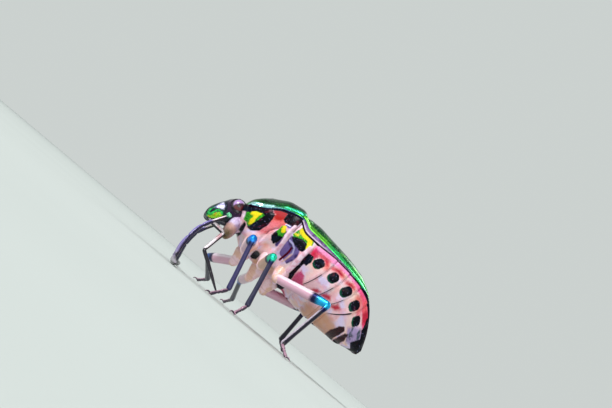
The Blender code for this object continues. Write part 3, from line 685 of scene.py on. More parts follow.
def wing_strip_finish():
    """Pale lilac below, then punctured purple-grey, a black line and a bright pale one at the top, a painted
    highlight of the shell's edge. A black line at the very bottom is partly dark paint and partly painted
    shade of the gap over the belly.
    """
    f = Finish("violet_wing", coat_weight=0.25, coat_roughness=0.15)
    lie = f.field("lie", "Vector")
    edge = f.field("edge") + (f.noise(lie, 6.0, 2) - 0.5) * 0.16
    fine = f.noise(lie, 14.0, 3)
    pit = f.fade(f.cells(lie, 9.5), 0.06, 0.36)
    purple = f.mix(paint(142, 108, 170), paint(82, 60, 106), f.fade(f.noise(lie, 3.0, 3), 0.62, 0.42))
    purple = f.mix(purple, paint(30, 16, 46), pit * 0.75)
    colour = f.mix(paint(240, 212, 244), purple, f.fade(edge, -0.4, -0.55))
    colour = f.mix(colour, paint(12, 8, 20), f.fade(edge, 0.62, 0.52))
    # Painted highlight along the top, under the shell's edge
    colour = f.mix(colour, paint(250, 244, 250), f.fade(edge, 0.82, 0.76))
    # Partly dark paint and partly painted shade of the gap, where the strip meets the belly
    colour = f.mix(colour, paint(12, 8, 20), f.fade(edge, -0.86, -0.78))
    f.set(base_color=colour, metallic=f.blend(0.3, 0.1, fine), roughness=f.blend(0.28, 0.42, fine))
    f.bump(1 - pit, 0.018)
    return f.material


def limb_finish(name, light, dark, root=None, end=None, lit_from=0.35):
    """A limb's skin, with painted light: light where it faces up and forward, towards the key lamp, and
    dark, painted shade, elsewhere. Root and end are the metal colours that run in from its two ends: (share,
    outer colour, inner colour)."""
    f = Finish(name, coat_weight=0.25, coat_roughness=0.12)
    room = f.room()
    fine = f.noise(room, 9.0, 3)
    along = f.field("along") + (fine - 0.5) * 0.05
    # Painted light: the light colour on the side that faces the lamp, the dark one as painted shade
    pale = f.fade(f.field("facing") + (fine - 0.5) * 0.2, lit_from + 0.4, lit_from)
    colour = f.mix(dark, light, pale)
    metal = pale * 0.1
    for side, colours in ((along, root), (1 - along, end)):
        if colours:
            share, outer, inner = colours
            reached = f.fade(side, share, share + 0.07)
            colour = f.mix(colour, f.mix(inner, outer, f.fade(side, share * 0.5, share * 0.9)), reached)
            metal = metal + reached * 0.8
    f.set(base_color=colour, metallic=metal, roughness=f.blend(0.26, 0.42, fine))
    f.bump(f.noise(room, 22.0, 2), 0.008)
    return f.material


def hip_finish():
    """Rose and peach, with a dark line round the joint."""
    f = Finish("pale_hip", coat_weight=0.25, coat_roughness=0.15)
    room = f.room()
    fine = f.noise(room, 12.0, 3)
    colour = f.mix(paint(240, 206, 214), paint(228, 184, 164), f.fade(f.noise(room, 1.6, 2), 0.62, 0.46))
    dots = f.fade(f.cells(room, 10.0) + (fine - 0.5) * 0.5, 0.1, 0.36)
    colour = f.mix(colour, paint(206, 90, 96), dots * 0.35)
    along = f.field("along") + (fine - 0.5) * 0.03
    joint = f.fade(along, 0.7, 0.67) * f.fade(along, 0.7, 0.73)
    colour = f.mix(colour, paint(150, 90, 96), joint * 0.2)
    f.set(base_color=colour, roughness=f.blend(0.34, 0.5, fine))
    f.bump((1 - dots) * 0.4 + fine * 0.4, 0.014)
    return f.material


def beak_finish():
    """Pale, with painted shade along its lower edge, going dark with a pale line, a painted highlight on its
    lit side.
    """
    f = Finish("pale_beak", coat_weight=0.25, coat_roughness=0.12)
    room = f.room()
    fine = f.noise(room, 9.0, 3)
    facing = f.field("facing") + (fine - 0.5) * 0.2
    far = f.fade(f.field("along") + (fine - 0.5) * 0.02, 0.5, 0.46)
    # Painted light: pale where it faces the lamp, dark below as painted shade; on the far half only a thin
    # painted highlight stays
    pale = f.fade(facing - far * 0.9, 0.1, -0.25)
    light = f.mix(paint(244, 232, 240), paint(214, 160, 170), f.fade(f.noise(room, 2.0, 2), 0.64, 0.5))
    f.set(base_color=f.mix(paint(20, 14, 30), light, pale), roughness=f.blend(0.26, 0.42, fine))
    f.bump(f.noise(room, 22.0, 2), 0.008)
    return f.material


def feeler_finish():
    """Its root is pale pink above, a painted highlight, and black below, painted shade; the rest is violet,
    lighter on the lit side and darker below as painted light and shade, going grey-brown.
    """
    f = Finish("dark_feeler", coat_weight=0.25, coat_roughness=0.12)
    room = f.room()
    fine = f.noise(room, 9.0, 3)
    along = f.field("along") + (fine - 0.5) * 0.02
    facing = f.field("facing") + (fine - 0.5) * 0.2
    later = f.fade(along, 0.6, 0.3)
    # Painted light: a lit colour on the side facing the lamp, and a darker one below as painted shade
    light = f.mix(paint(128, 112, 190), paint(138, 128, 142), later)
    dark = f.mix(paint(24, 17, 60), paint(34, 28, 36), later)
    colour = f.mix(dark, light, f.fade(facing, 0.85, 0.25))
    # The root: pale pink on the lit side, and black painted shade below
    root = f.mix(paint(14, 8, 22), paint(240, 214, 226), f.fade(facing, 0.4, 0.05))
    colour = f.mix(colour, root, f.fade(along, 0.085, 0.12))
    f.set(base_color=colour, roughness=f.blend(0.26, 0.42, fine))
    f.bump(f.noise(room, 22.0, 2), 0.01)
    return f.material


def plain_finish(name, first, second, scale, roughness, depth, **constants):
    """Two colours in a fine grain, for small parts."""
    f = Finish(name, **constants)
    room = f.room()
    grain = f.noise(room, scale, 3)
    f.set(base_color=f.mix(first, second, f.fade(grain, 0.6, 0.4)))
    f.set(roughness=f.blend(roughness, roughness + 0.12, grain))
    f.bump(f.noise(room, 14.0, 2), depth)
    return f.material


# Shell


def dome(back, lift, behind, side):
    """The shell's height, which starts from its lower edge."""
    edge = rim(behind) + lift
    share = np.minimum(np.abs(side) / half_width(behind), 1)
    return edge + (back(behind) - edge) * (1 - share**DOME_POWER) ** (1 / DOME_POWER)


def over_and_under(v, share=0.85):
    """The way round a shell: across its top from left to right, and then back underneath."""
    top = np.clip(v / share, 0, 1)
    under = np.clip((v - share) / (1 - share), 0, 1)
    across = np.where(v <= share, -np.cos(math.pi * top), np.cos(math.pi * under))
    return across, v > share


def shell_surface(back, first, last, lift, roll, swept=0):
    """A shell between two stations, rolled under at its hind edge. Where it is swept back at the
    sides of its front edge, that edge rolls under too."""

    def surface(u, v):
        across, below = over_and_under(v)
        start = first + swept * np.abs(across) ** 3
        behind = start + (last - start) * u
        side = across * half_width(behind)
        edge = rim(behind) + lift(behind)
        height = dome(back, lift(behind), behind, side)
        fall = np.clip(1 - (last - behind) / roll, 0, 1)
        if swept:
            fall = np.maximum(fall, np.clip(1 - (behind - start) / FRONT_ROLL, 0, 1))
        height = height - (height - edge) * (1 - rounded(fall)) * ROLL_SHARE
        at_rim = np.maximum(np.abs(across) - 0.9, 0) / 0.1
        side = np.where(below, side * 0.99, side)
        return stack(behind, side, np.where(below, edge - SHELL_THICKNESS * at_rim, height))

    return surface


def up_from_edge(places, lift):
    """How far a shell's places are from its lower edge."""
    behind, side, height = places.T
    return np.hypot(half_width(behind) - np.abs(side), height - rim(behind) - lift(behind))


PRONOTUM_SPOTS = (
    (0.26, (2.3, -0.12), (2.3, 0.12)),
    (0.24, (2.42, -1.05), (2.55, -1.25)),
    (0.24, (2.42, 1.05), (2.55, 1.25)),
    (0.24, (3.5, -0.1), (3.9, -0.06)),
    (0.28, (3.6, -1.2), (3.95, -1.3)),
    (0.28, (3.6, 1.2), (3.95, 1.3)),
    (0.22, (3.8, -2.3), (4.1, -2.45)),
    (0.22, (3.8, 2.3), (4.1, 2.45)),
)
# Where the neck shield's painted highlight runs, as (behind, up from the lower edge)
PRONOTUM_HIGHLIGHT = (
    (0.15, (1.6, 0.2), (2.1, 0.26), (2.7, 0.22)),
    (0.07, (2.6, 0.18), (3.3, 0.14)),
    (0.13, (3.5, 0.2), (4.0, 0.3), (4.5, 0.42), (4.8, 0.5)),
)
SCUTELLUM_SPOTS = (
    (0.3, (5.2, 0.0), (6.8, 0.0)),
    (0.3, (5.5, -2.0), (5.8, -2.1)),
    (0.3, (5.5, 2.0), (5.8, 2.1)),
    (0.36, (7.5, -1.45), (7.9, -1.5)),
    (0.36, (7.5, 1.45), (7.9, 1.5)),
    (0.34, (9.5, -1.25), (9.8, -1.2)),
    (0.34, (9.5, 1.25), (9.8, 1.2)),
    (0.3, (11.3, -0.25), (11.3, 0.25)),
)


def make_pronotum(finish):
    last = PRONOTUM_END + 0.1

    def lift(behind):
        return np.full_like(behind, -0.03)

    surface = shell_surface(pronotum_back, SKIN_START, last, lift, 0.3, swept=PRONOTUM_SWEEP)

    def relief(u, v):
        places = surface(u, v)
        behind, side, _ = places.T
        _, below = over_and_under(v)
        up = up_from_edge(places, lift)
        lip = 0.05 * bell(up - 0.1, 0.07) - 0.03 * bell(up - 0.26, 0.07)
        callus = from_strokes(places[:, :2], ((0.2, (2.45, -0.9), (2.5, -0.35)),
                                              (0.2, (2.45, 0.9), (2.5, 0.35))))
        groove = 0.03 * bell(behind - 2.05 - 0.06 * side**2, 0.09) * fade(up, 0.5, 0.9)
        return np.where(below, 0, lip - groove + 0.03 * fade(callus, -0.15, 0.05))

    def marks(u, v):
        places = surface(u, v)
        return {
            "lie": places,
            "edge": up_from_edge(places, lift),
            "highlight_band": from_strokes(stack(places[:, 0], up_from_edge(places, lift)), PRONOTUM_HIGHLIGHT),
            "ink": from_strokes(places[:, :2], PRONOTUM_SPOTS),
        }

    mesh = bmesh.new()
    moulded(mesh, 120, 200, surface, relief, marks, body_pose)
    return piece("neck_shield", mesh, finish, ["pronotum"])


def make_scutellum(finish):
    first = PRONOTUM_END - 0.25
    surface = shell_surface(scutellum_back, first, BODY_LENGTH, shell_lift, 0.2)

    def marks(u, v):
        places = surface(u, v)
        up = up_from_edge(places, shell_lift)
        hind = fade(places[:, 0], 11.2, 9.8)
        return {
            "lie": places,
            "edge": up + 0.12 - 0.3 * hind,
            # the painted highlight lies low on the flank and fades out towards the tail
            "highlight_band": up - 0.26 + 0.4 * hind,
            "ink": from_strokes(places[:, :2], SCUTELLUM_SPOTS),
        }

    def relief(u, v):
        places = surface(u, v)
        _, below = over_and_under(v)
        up = up_from_edge(places, shell_lift)
        lip = 0.03 * bell(up - 0.06, 0.05) - 0.03 * bell(up - 0.2, 0.06)
        return np.where(below, 0, lip)

    mesh = bmesh.new()
    moulded(mesh, 220, 200, surface, relief, marks, body_pose)
    return piece("back_shield", mesh, finish, ["scutellum"])


def make_wing(label, sign, finish):
    """The forewing's outer strip, which shows between the back shield and the belly."""
    first = PRONOTUM_END - 0.2
    last = WING_END + 0.3

    def surface(u, v):
        behind = first + (last - first) * u
        low = rim(behind) - belly_drop(behind) + STRIP_OVER_BELLY
        high = rim(behind) + shell_lift(behind) + STRIP_UNDER_SHELL
        angle = 2 * math.pi * v
        thick = STRIP_THICKNESS * rounded(behind - last + 1) + 0.01
        side = half_width(behind) - STRIP_SET_IN + thick * np.cos(angle)
        return stack(behind, sign * side, (low + high) / 2 + (high - low) / 2 * np.sin(angle))

    def marks(u, v):
        places = surface(u, v)
        return {"lie": places, "edge": np.sin(2 * math.pi * v)}

    mesh = bmesh.new()
    moulded(mesh, 150, 48, surface, None, marks, body_pose)
    return piece(f"wing_edge_{label}", mesh, finish, [f"forewing_{label}"])


# Underside


def belly_place(behind, angle):
    """A place on the underside. The angle goes from 0 at the left rim to pi at the right rim."""
    top = rim(behind) - belly_drop(behind)
    depth = top - belly(behind)
    reach = np.abs(np.cos(angle)) ** (2 / BELLY_POWER) * half_width(behind)
    drop = depth * np.maximum(np.sin(angle), 0) ** (2 / BELLY_POWER)
    return stack(behind, -np.sign(np.cos(angle)) * reach, top - drop)


def down_from_rim(behind, angle):
    """The way down along the skin from the nearer rim."""
    folded = np.minimum(angle, math.pi - angle)
    total = np.zeros_like(behind)
    last = belly_place(behind, np.zeros_like(folded))
    steps = 48
    for i in range(1, steps + 1):
        here = belly_place(behind, folded * i / steps)
        total += np.linalg.norm(here - last, axis=1)
        last = here
    return total


def suture_lag(behind, down):
    """How far each place is in front of each belly suture, which bend forward under the belly."""
    bend = np.maximum(down - SUTURE_REACH, 0)
    bend = np.minimum(bend, 2.4) ** 1.5
    return [end - curve * bend - behind for end, curve in STERNITE_SUTURES]


def behind_collar(places):
    """How far each place is behind the neck opening's edge, along the body."""
    return places[:, 0] + COLLAR_SLOPE * (places[:, 2] - COLLAR[1]) - COLLAR[0]


def rolled_in(places):
    """The skin that would lie in front of the collar goes round its lip and back inside."""
    ahead = np.maximum(-behind_collar(places), 0)
    turn = np.minimum(ahead / COLLAR_LIP, math.pi)
    inside = np.maximum(ahead - math.pi * COLLAR_LIP, 0)
    middle = np.array((0.0, 0.0, -1.5))
    inward = middle - places
    inward[:, 0] = 0
    inward /= np.maximum(np.linalg.norm(inward, axis=1), 0.2)[:, None]
    along = ahead - COLLAR_LIP * np.sin(turn) + inside
    rolled = places + inward * (COLLAR_LIP * (1 - np.cos(turn)))[:, None]
    rolled[:, 0] += along
    return rolled


def make_underside(finish):
    first, last = SKIN_START, UNDERSIDE_END
    arc = 0.88  # of the way round, and the rest is the lid under the shell

    def chart(u, v):
        behind = first + (last - first) * u
        angle = math.pi * np.clip(v / arc, 0, 1)
        return behind, angle, v > arc

    def surface(u, v):
        behind, angle, lid = chart(u, v)
        places = belly_place(behind, angle)
        back = np.clip((v - arc) / (1 - arc), 0, 1)
        lid_side = half_width(behind) * (1 - 2 * back)
        places[:, 1] = np.where(lid, lid_side, places[:, 1])
        top = rim(behind) - belly_drop(behind)
        places[:, 2] = np.where(lid, top - 0.2 * np.sin(math.pi * back), places[:, 2])
        middle = (top + belly(behind)) / 2
        close = rounded((behind - TAIL_CLOSING) / (last - TAIL_CLOSING))
        places[:, 1] *= close
        places[:, 2] = middle + (places[:, 2] - middle) * close
        return rolled_in(places)

    def lay(u, v):
        behind, angle, lid = chart(u, v)
        return behind, down_from_rim(behind, angle) + belly_drop(behind) - CHART_START, lid, angle

    def relief(u, v):
        behind, down, lid, angle = lay(u, v)
        here = stack(behind, down)
        places = surface(u, v)
        rise = np.zeros_like(behind)
        on_abdomen = fade(behind, 6.6, 6.4)
        for lag in suture_lag(behind, down):
            rise -= SUTURE_DEPTH * bell(lag + 0.03, 0.085)
            rise += PLATE_STEP * fade(lag, 0.0, 0.5) * (lag > 0) * fade(lag, 0.3, 1.2)
        rise *= on_abdomen
        rise += on_abdomen * PLATE_STEP * fade(down, 0.42, 0.56)
        rise += SPOT_SWELLING * fade(from_strokes(here, ABDOMEN_SPOTS), -0.2, 0.02)
        for crease in THORAX_CREASES:
            rise -= CREASE_DEPTH * bell(from_line(here, crease), 0.09)
        rise += BAR_HEIGHT * fade(from_strokes(here, PALE_BARS), -0.1, 0.1)
        rise += PERITREME_HEIGHT * fade(from_line(here, PERITREME), 0.02, 0.14)
        rise -= SLIT_DEPTH * fade(from_line(here, SCENT_SLIT), 0.0, 0.09)
        aside = np.abs(places[:, 1])
        for hip, reach, _ in HIPS.values():
            away = np.hypot(behind - hip, aside - reach * HIP_ROOT_SHARE - 0.1)
            rise += HIP_SWELLING * fade(away, 0.3, 1.0)
        rise += SHOULDER_SWELLING * fade(from_patches(here, BLACK_PATCHES[:1]), -0.2, 0.1)
        rise -= FURROW_DEPTH * fade(aside, 0.1, 0.5) * fade(behind, 7.2, 7.8) * fade(down, 2.2, 1.8)
        front = behind_collar(belly_place(behind, angle))
        rise += 0.04 * bell(front - 0.05, 0.1) - 0.1 * bell(front - 0.3, 0.1)
        return np.where(lid, 0, -rise)

    def marks(u, v):
        behind, down, _, angle = lay(u, v)
        here = stack(behind, down)
        places = surface(u, v)
        ink = np.minimum(from_patches(here, BLACK_PATCHES), from_strokes(here, ABDOMEN_SPOTS))
        lines = down - belly_drop(behind) + CHART_START - 0.06
        for i, lag in enumerate(suture_lag(behind, down)):
            drawn = fade(down, 1.5, 1.1) * fade(down, 2.7, 3.3)
            half = (0.05 if i == 3 else 0.02) * drawn - 0.06 * (1 - drawn)
            lines = np.minimum(lines, np.abs(lag) - half)
        bar = from_strokes(here, PALE_BARS)
        front = behind_collar(belly_place(behind, angle))
        bar = np.minimum(bar, np.maximum(np.abs(front + 0.02) - 0.14, 0.5 - down))
        return {
            "lie": stack(behind, down, np.sign(places[:, 1])),
            "ink": ink,
            "sheen": from_strokes(here - SPOT_SHIFT, ABDOMEN_SPOTS),
            "gold": from_patches(here, GOLD_PATCHES),
            "yellow": from_strokes(here, YELLOW_STROKES),
            "violet": from_patches(here, VIOLET_PATCHES),
            "red": from_patches(here, RED_PATCHES),
            "magenta": from_patches(here, MAGENTA_PATCHES),
            "blush": from_strokes(here, BLUSH_STROKES),
            "brown": from_patches(here, BROWN_PATCHES),
            "grey": from_patches(here, GREY_PATCHES),
            "peach": from_strokes(here, PEACH_STROKES),
            "bar": bar,
            "ridge": from_line(here, PERITREME) - 0.05,
            "slit": from_line(here, SCENT_SLIT) - 0.05,
            "glint": from_strokes(here, GLINT_STROKES),
            "crease": np.min([from_line(here, line) for line in BROWN_LINES], axis=0) - 0.015,
            "line": lines,
            "margin": np.where(behind > 6.4, down - margin_depth(behind), 1.0),
        }

    mesh = bmesh.new()
    moulded(mesh, 380, 250, surface, relief, marks, body_pose)
    nodes = ["prothorax", "mesothorax", "metathorax", "abdomen", "tail_plates"]
    return piece("underside", mesh, finish, nodes)


# Head

EYE_RIM_HEIGHT = 0.1
FACE_FURROW_DEPTH = 0.06
CHIN_HEIGHT = 0.06


def make_head(finish):
    """The head's shell, with a raised rim round each eye and a furrow on each side of the face."""

    def surface(u, v):
        forward = HEAD_START + (HEAD_LENGTH - HEAD_START) * np.sin(u * math.pi / 2) ** 0.9
        top, bottom = head_top(forward), head_bottom(forward)
        width = head_half_width(forward)
        close = rounded((forward - HEAD_CLOSING) / (HEAD_LENGTH - HEAD_CLOSING))
        angle = 2 * math.pi * v
        left = np.sign(np.cos(angle)) * np.abs(np.cos(angle)) ** (2 / HEAD_POWER) * width * close
        up = np.sign(np.sin(angle)) * np.abs(np.sin(angle)) ** (2 / HEAD_POWER)
        return stack(forward, left, (top + bottom) / 2 + up * (top - bottom) / 2 * close)

    def relief(u, v):
        places = surface(u, v)
        forward, left, up = places.T
        aside = np.abs(left)
        folded = stack(forward, aside, up)
        above = up > (head_top(forward) + head_bottom(forward)) / 2
        furrow = bell(aside - 0.26, 0.05) * fade(forward, 0.9, 0.6) * above
        eye = np.linalg.norm(folded - np.array(EYE_CENTRE), axis=1) - EYE_RADIUS
        rise = EYE_RIM_HEIGHT * fade(eye, 0.02, 0.3) - FACE_FURROW_DEPTH * furrow
        rise += CHIN_HEIGHT * fade(aside, 0.3, 0.15) * (1 - above) * fade(forward, 0.4, 0.2)
        return -rise

    def marks(u, v):
        places = surface(u, v)
        forward, left, up = places.T
        aside = np.abs(left)
        from_the_side = stack(forward, up)
        dark = from_patches(from_the_side, HEAD_DARK)
        clypeus = np.maximum(aside - 0.3 - 0.1 * (2.5 - forward), 1.2 - forward)
        below = up + 0.4
        tip = 2.38 - forward
        return {
            "lie": places,
            "green": from_patches(from_the_side, HEAD_GREEN),
            "lime": from_patches(from_the_side, HEAD_LIME),
            "painted_highlight": np.maximum(from_patches(from_the_side, HEAD_HIGHLIGHT), 0.42 - aside),
            "ink": np.minimum.reduce([dark, clypeus, below, tip, np.abs(aside) - 0.12]),
            "eye": np.linalg.norm(stack(forward, aside, up) - np.array(EYE_CENTRE), axis=1) - EYE_RADIUS,
        }

    mesh = bmesh.new()
    moulded(mesh, 110, 120, surface, relief, marks, body_pose @ head_pose)
    return piece("head_shell", mesh, finish, ["head"])


def make_throat(finish):
    """The pale swelling under the head, between the beak's root and the collar."""
    long_half, thick_half, wide_half = THROAT_HALVES

    def surface(u, v):
        side = -np.cos(math.pi * u)
        close = (1 - np.abs(side) ** THROAT_POWER) ** (1 / THROAT_POWER)
        angle = 2 * math.pi * v
        down = long_half * np.cos(angle) * close
        back = thick_half * np.sin(angle) * close
        behind = THROAT_MIDDLE[0] + THROAT_LEAN * down + back
        height = THROAT_MIDDLE[1] - down + THROAT_LEAN * back
        return stack(behind, side * wide_half, height)

    def relief(u, v):
        return -THROAT_GROOVE * bell(np.cos(math.pi * u), 0.16)

    def marks(u, v):
        places = surface(u, v)
        return {"lie": places, "low": (THROAT_MIDDLE[1] - places[:, 2]) / long_half}

    mesh = bmesh.new()
    moulded(mesh, 90, 80, surface, relief, marks, body_pose)
    return piece("throat", mesh, finish)


def ball(mesh, radius, centre, stretch, pose, rings=24):
    """Adds a round bead to the mesh, and its own frame's places as marks."""
    layers = mesh.verts.layers.float_vector
    lie = layers.get("lie") or layers.new("lie")
    made = bmesh.ops.create_uvsphere(mesh, u_segments=rings * 2, v_segments=rings, radius=radius)
    for vertex in made["verts"]:
        vertex.co = Vector(vertex.co) * Vector(stretch)
        vertex[lie] = vertex.co
        vertex.co = pose @ (vertex.co + Vector(centre)) * MM


def make_eyes(eye_finish, ocellus_finish, bump_finish):
    pose = body_pose @ head_pose
    for label, sign in (("left", 1), ("right", -1)):
        mirror = Vector((1, sign, 1))
        eye = bmesh.new()
        ball(eye, EYE_RADIUS, Vector(EYE_CENTRE) * mirror, (1, 0.95, 1), pose, 40)
        piece(f"facet_eye_{label}", eye, eye_finish, [f"eye_{label}"])
        bead = bmesh.new()
        ball(bead, OCELLUS_RADIUS, Vector(OCELLUS_CENTRE) * mirror, (1, 1, 0.8), pose, 12)
        piece(f"ocellus_{label}", bead, ocellus_finish)
        bump = bmesh.new()
        ball(bump, FEELER_BUMP_RADIUS, Vector(FEELER_BUMP) * mirror, (1.1, 0.8, 1), pose, 16)
        piece(f"feeler_root_{label}", bump, bump_finish)


# Limbs


def eased(points, steps=12):
    """A smooth line through the points."""
    points = [np.array(point, float) for point in points]
    ends = [points[0] * 2 - points[1]] + points + [points[-1] * 2 - points[-2]]
    line = [points[0]]
    for a, b, c, d in zip(ends, ends[1:], ends[2:], ends[3:]):
        for i in range(1, steps + 1):
            t = i / steps
            line.append(0.5 * (2 * b + (c - a) * t + (2 * a - 5 * b + 4 * c - d) * t**2
                               + (3 * b - a - 3 * c + d) * t**3))
    return np.array(line)


def walk(line):
    """The distance walked along the line at each of its points."""
    return np.concatenate(([0.0], np.cumsum(np.linalg.norm(np.diff(line, axis=0), axis=1))))


def stretch_of(line, start, end, count=40):
    """Part of a line, between two distances along it."""
    walked = walk(line)
    at = np.linspace(start, end, count)
    return np.stack([np.interp(at, walked, line[:, axis]) for axis in range(3)], axis=-1)


LIT_SIDE = np.array((-0.64, 0.0, 0.77))  # the way, in the room, that a limb's painted highlight faces: up and forward, towards the key lamp


def limb(mesh, line, girth, rows=48, sides=LIMB_SIDES, shape=None, span=(0, 1)):
    """Adds a round, tapered stretch along a line in the room. Girth is (share, radius) pairs,
    shape(angle) may change the radius round it, and span is what it takes up of the whole limb."""
    line = np.array(line, float)
    walked = walk(line)
    length = walked[-1]
    radius = smooth_curve(girth)
    runs = np.gradient(line, walked, axis=0)
    whole = line[-1] - line[0]
    steady = np.eye(3)[np.argmin(np.abs(whole))]

    def frames(u):
        share = (1 - np.cos(math.pi * u)) / 2
        at = share * length
        centre = np.stack([np.interp(at, walked, line[:, axis]) for axis in range(3)], axis=-1)
        run = np.stack([np.interp(at, walked, runs[:, axis]) for axis in range(3)], axis=-1)
        run /= np.linalg.norm(run, axis=1)[:, None]
        one = np.cross(run, steady)
        one /= np.linalg.norm(one, axis=1)[:, None]
        return share, at, centre, one, np.cross(run, one)

    def out(u, v):
        *_, one, other = frames(u)
        angle = 2 * math.pi * v
        return one * np.cos(angle)[:, None] + other * np.sin(angle)[:, None]

    def surface(u, v):
        share, at, centre, *_ = frames(u)
        full = radius(share)
        near_end = np.minimum(at, length - at) / np.maximum(full, 1e-6)
        around = shape(2 * math.pi * v) if shape else 1
        return centre + out(u, v) * (full * rounded(1 - near_end) * around)[:, None]

    def marks(u, v):
        share = frames(u)[0]
        return {"along": span[0] + (span[1] - span[0]) * share, "facing": out(u, v) @ LIT_SIDE}

    moulded(mesh, rows, sides, surface, None, marks)


def ridged(angle):
    """A shin's four shallow furrows."""
    return 1 - 0.1 * np.cos(2 * angle) ** 2


HIP_GIRTH = ((0.0, 0.62), (0.3, 0.52), (0.55, 0.4), (0.75, 0.32), (0.9, 0.28), (1.0, 0.24))
THIGH_GIRTH = ((0.0, 0.24), (0.06, 0.29), (0.35, 0.31), (0.7, 0.32), (0.9, 0.26), (1.0, 0.2))
SHIN_GIRTH = ((0.0, 0.17), (0.06, 0.2), (0.18, 0.165), (0.7, 0.165), (0.95, 0.19), (1.0, 0.15))
FOOT_PARTS = ((0.0, 0.42, 0.125), (0.4, 0.62, 0.11), (0.6, 1.0, 0.115))
CLAW_LENGTH = 0.34
ROOT_SUNK = 0.25  # how far a leg's root lies inside the belly
PAST_HIP = 0.3  # how far a coxa runs on beyond the hip joint
BEFORE_HIP = 0.26  # and how far a thigh starts inside it
PAST_KNEE = 0.12
BEFORE_KNEE = 0.1
BEFORE_ANKLE = 0.05
TOE_HEIGHT = 0.13


def make_claws(mesh, end, run):
    """Two hooked claws that reach down to the floor in front of the foot."""
    flat = np.array([run[0], run[1], 0])
    flat /= np.linalg.norm(flat)
    aside = np.array([-flat[1], flat[0], 0])
    for sign in (-1, 1):
        points = []
        for share, out, up in ((0, 0.0, 0.0), (0.35, 0.1, 0.05), (0.75, 0.17, 0.0), (1, 0.18, -0.09)):
            points.append(end + flat * CLAW_LENGTH * share + aside * sign * out + np.array([0, 0, up]))
        line = eased(points)
        line[:, 2] = np.maximum(line[:, 2], 0.03)
        limb(mesh, line, ((0, 0.055), (0.5, 0.045), (1, 0.012)), 20, 10)


def make_legs(hip_finish, thigh_finishes, shin_finishes, foot_finish):
    middle = np.array((*MIDDLE, 0))
    for label, joints in LEG_JOINTS.items():
        pair, side = label.split("_")
        sign = -1 if side == "left" else 1
        behind, reach, height = HIPS[pair]
        root = (behind, sign * reach * HIP_ROOT_SHARE, float(belly(behind)) + ROOT_SUNK)
        root, hip = moved(body_pose, [root, (behind, sign * reach, height)])
        knee, shin_end, toe = (middle + np.array(joint) for joint in joints)
        toe = np.array((toe[0], toe[1], TOE_HEIGHT))
        upper = (knee - hip) / np.linalg.norm(knee - hip)
        lower = (shin_end - knee) / np.linalg.norm(shin_end - knee)
        coxa = bmesh.new()
        limb(coxa, eased((root, hip, hip + upper * PAST_HIP)), HIP_GIRTH, 80, 32)
        piece(f"coxa_{label}", coxa, hip_finish, [f"hip_{label}"])
        thigh = bmesh.new()
        limb(thigh, (hip - upper * BEFORE_HIP, knee + upper * PAST_KNEE), THIGH_GIRTH, 60, 28)
        piece(f"thigh_{label}", thigh, thigh_finishes[label], [f"femur_{label}"])
        shin = bmesh.new()
        limb(shin, (knee - lower * BEFORE_KNEE, shin_end), SHIN_GIRTH, 64, 24, ridged)
        piece(f"shin_{label}", shin, shin_finishes[label], [f"tibia_{label}"])
        foot = bmesh.new()
        line = np.array((shin_end - lower * BEFORE_ANKLE, toe))
        for start, end, radius in FOOT_PARTS:
            part = np.array((line[0] + (line[1] - line[0]) * start, line[0] + (line[1] - line[0]) * end))
            girth = ((0, radius * 0.6), (0.3, radius * 0.9), (0.85, radius), (1, radius * 0.8))
            limb(foot, part, girth, 24, 16)
        make_claws(foot, toe, toe - shin_end)
        piece(f"foot_{label}", foot, foot_finish, [f"tarsus_{label}"])


BEAK_RADII = (0.16, 0.14, 0.125, 0.11, 0.06)
BEAK_SUNK = 0.5  # how far its root lies inside the head
BEFORE_JOINT = 0.05
PAST_JOINT = 0.06


def make_beak(finish):
    joints = moved(body_pose, [(behind, 0, height) for behind, height in BEAK_JOINTS])
    mesh = bmesh.new()
    for i, (start, end) in enumerate(zip(joints, joints[1:])):
        run = (end - start) / np.linalg.norm(end - start)
        first, last = BEAK_RADII[i], BEAK_RADII[i + 1]
        if i == 0:
            start = start - run * BEAK_SUNK
        girth = ((0, first * 0.8), (0.1, first), (0.85, last * 1.05), (1.0, last * 0.95))
        line = (start - run * BEFORE_JOINT, end + run * PAST_JOINT)
        limb(mesh, line, girth, 48, 20, span=(i / 4, (i + 1) / 4))
    return piece("beak", mesh, finish, [f"beak_{i}" for i in range(1, 5)])


FEELER_RADII = (0.13, 0.135, 0.16, 0.17, 0.165)
ROOT_STRETCH = 0.8  # how much further the first length reaches back than the frame's
SEGMENT_OVERLAP = 0.03
LAID_BELOW = 0.6  # what is lower than this is laid on the floor
FRAME_LAID_HEIGHT = 0.29
LAID_HEIGHT = 0.18


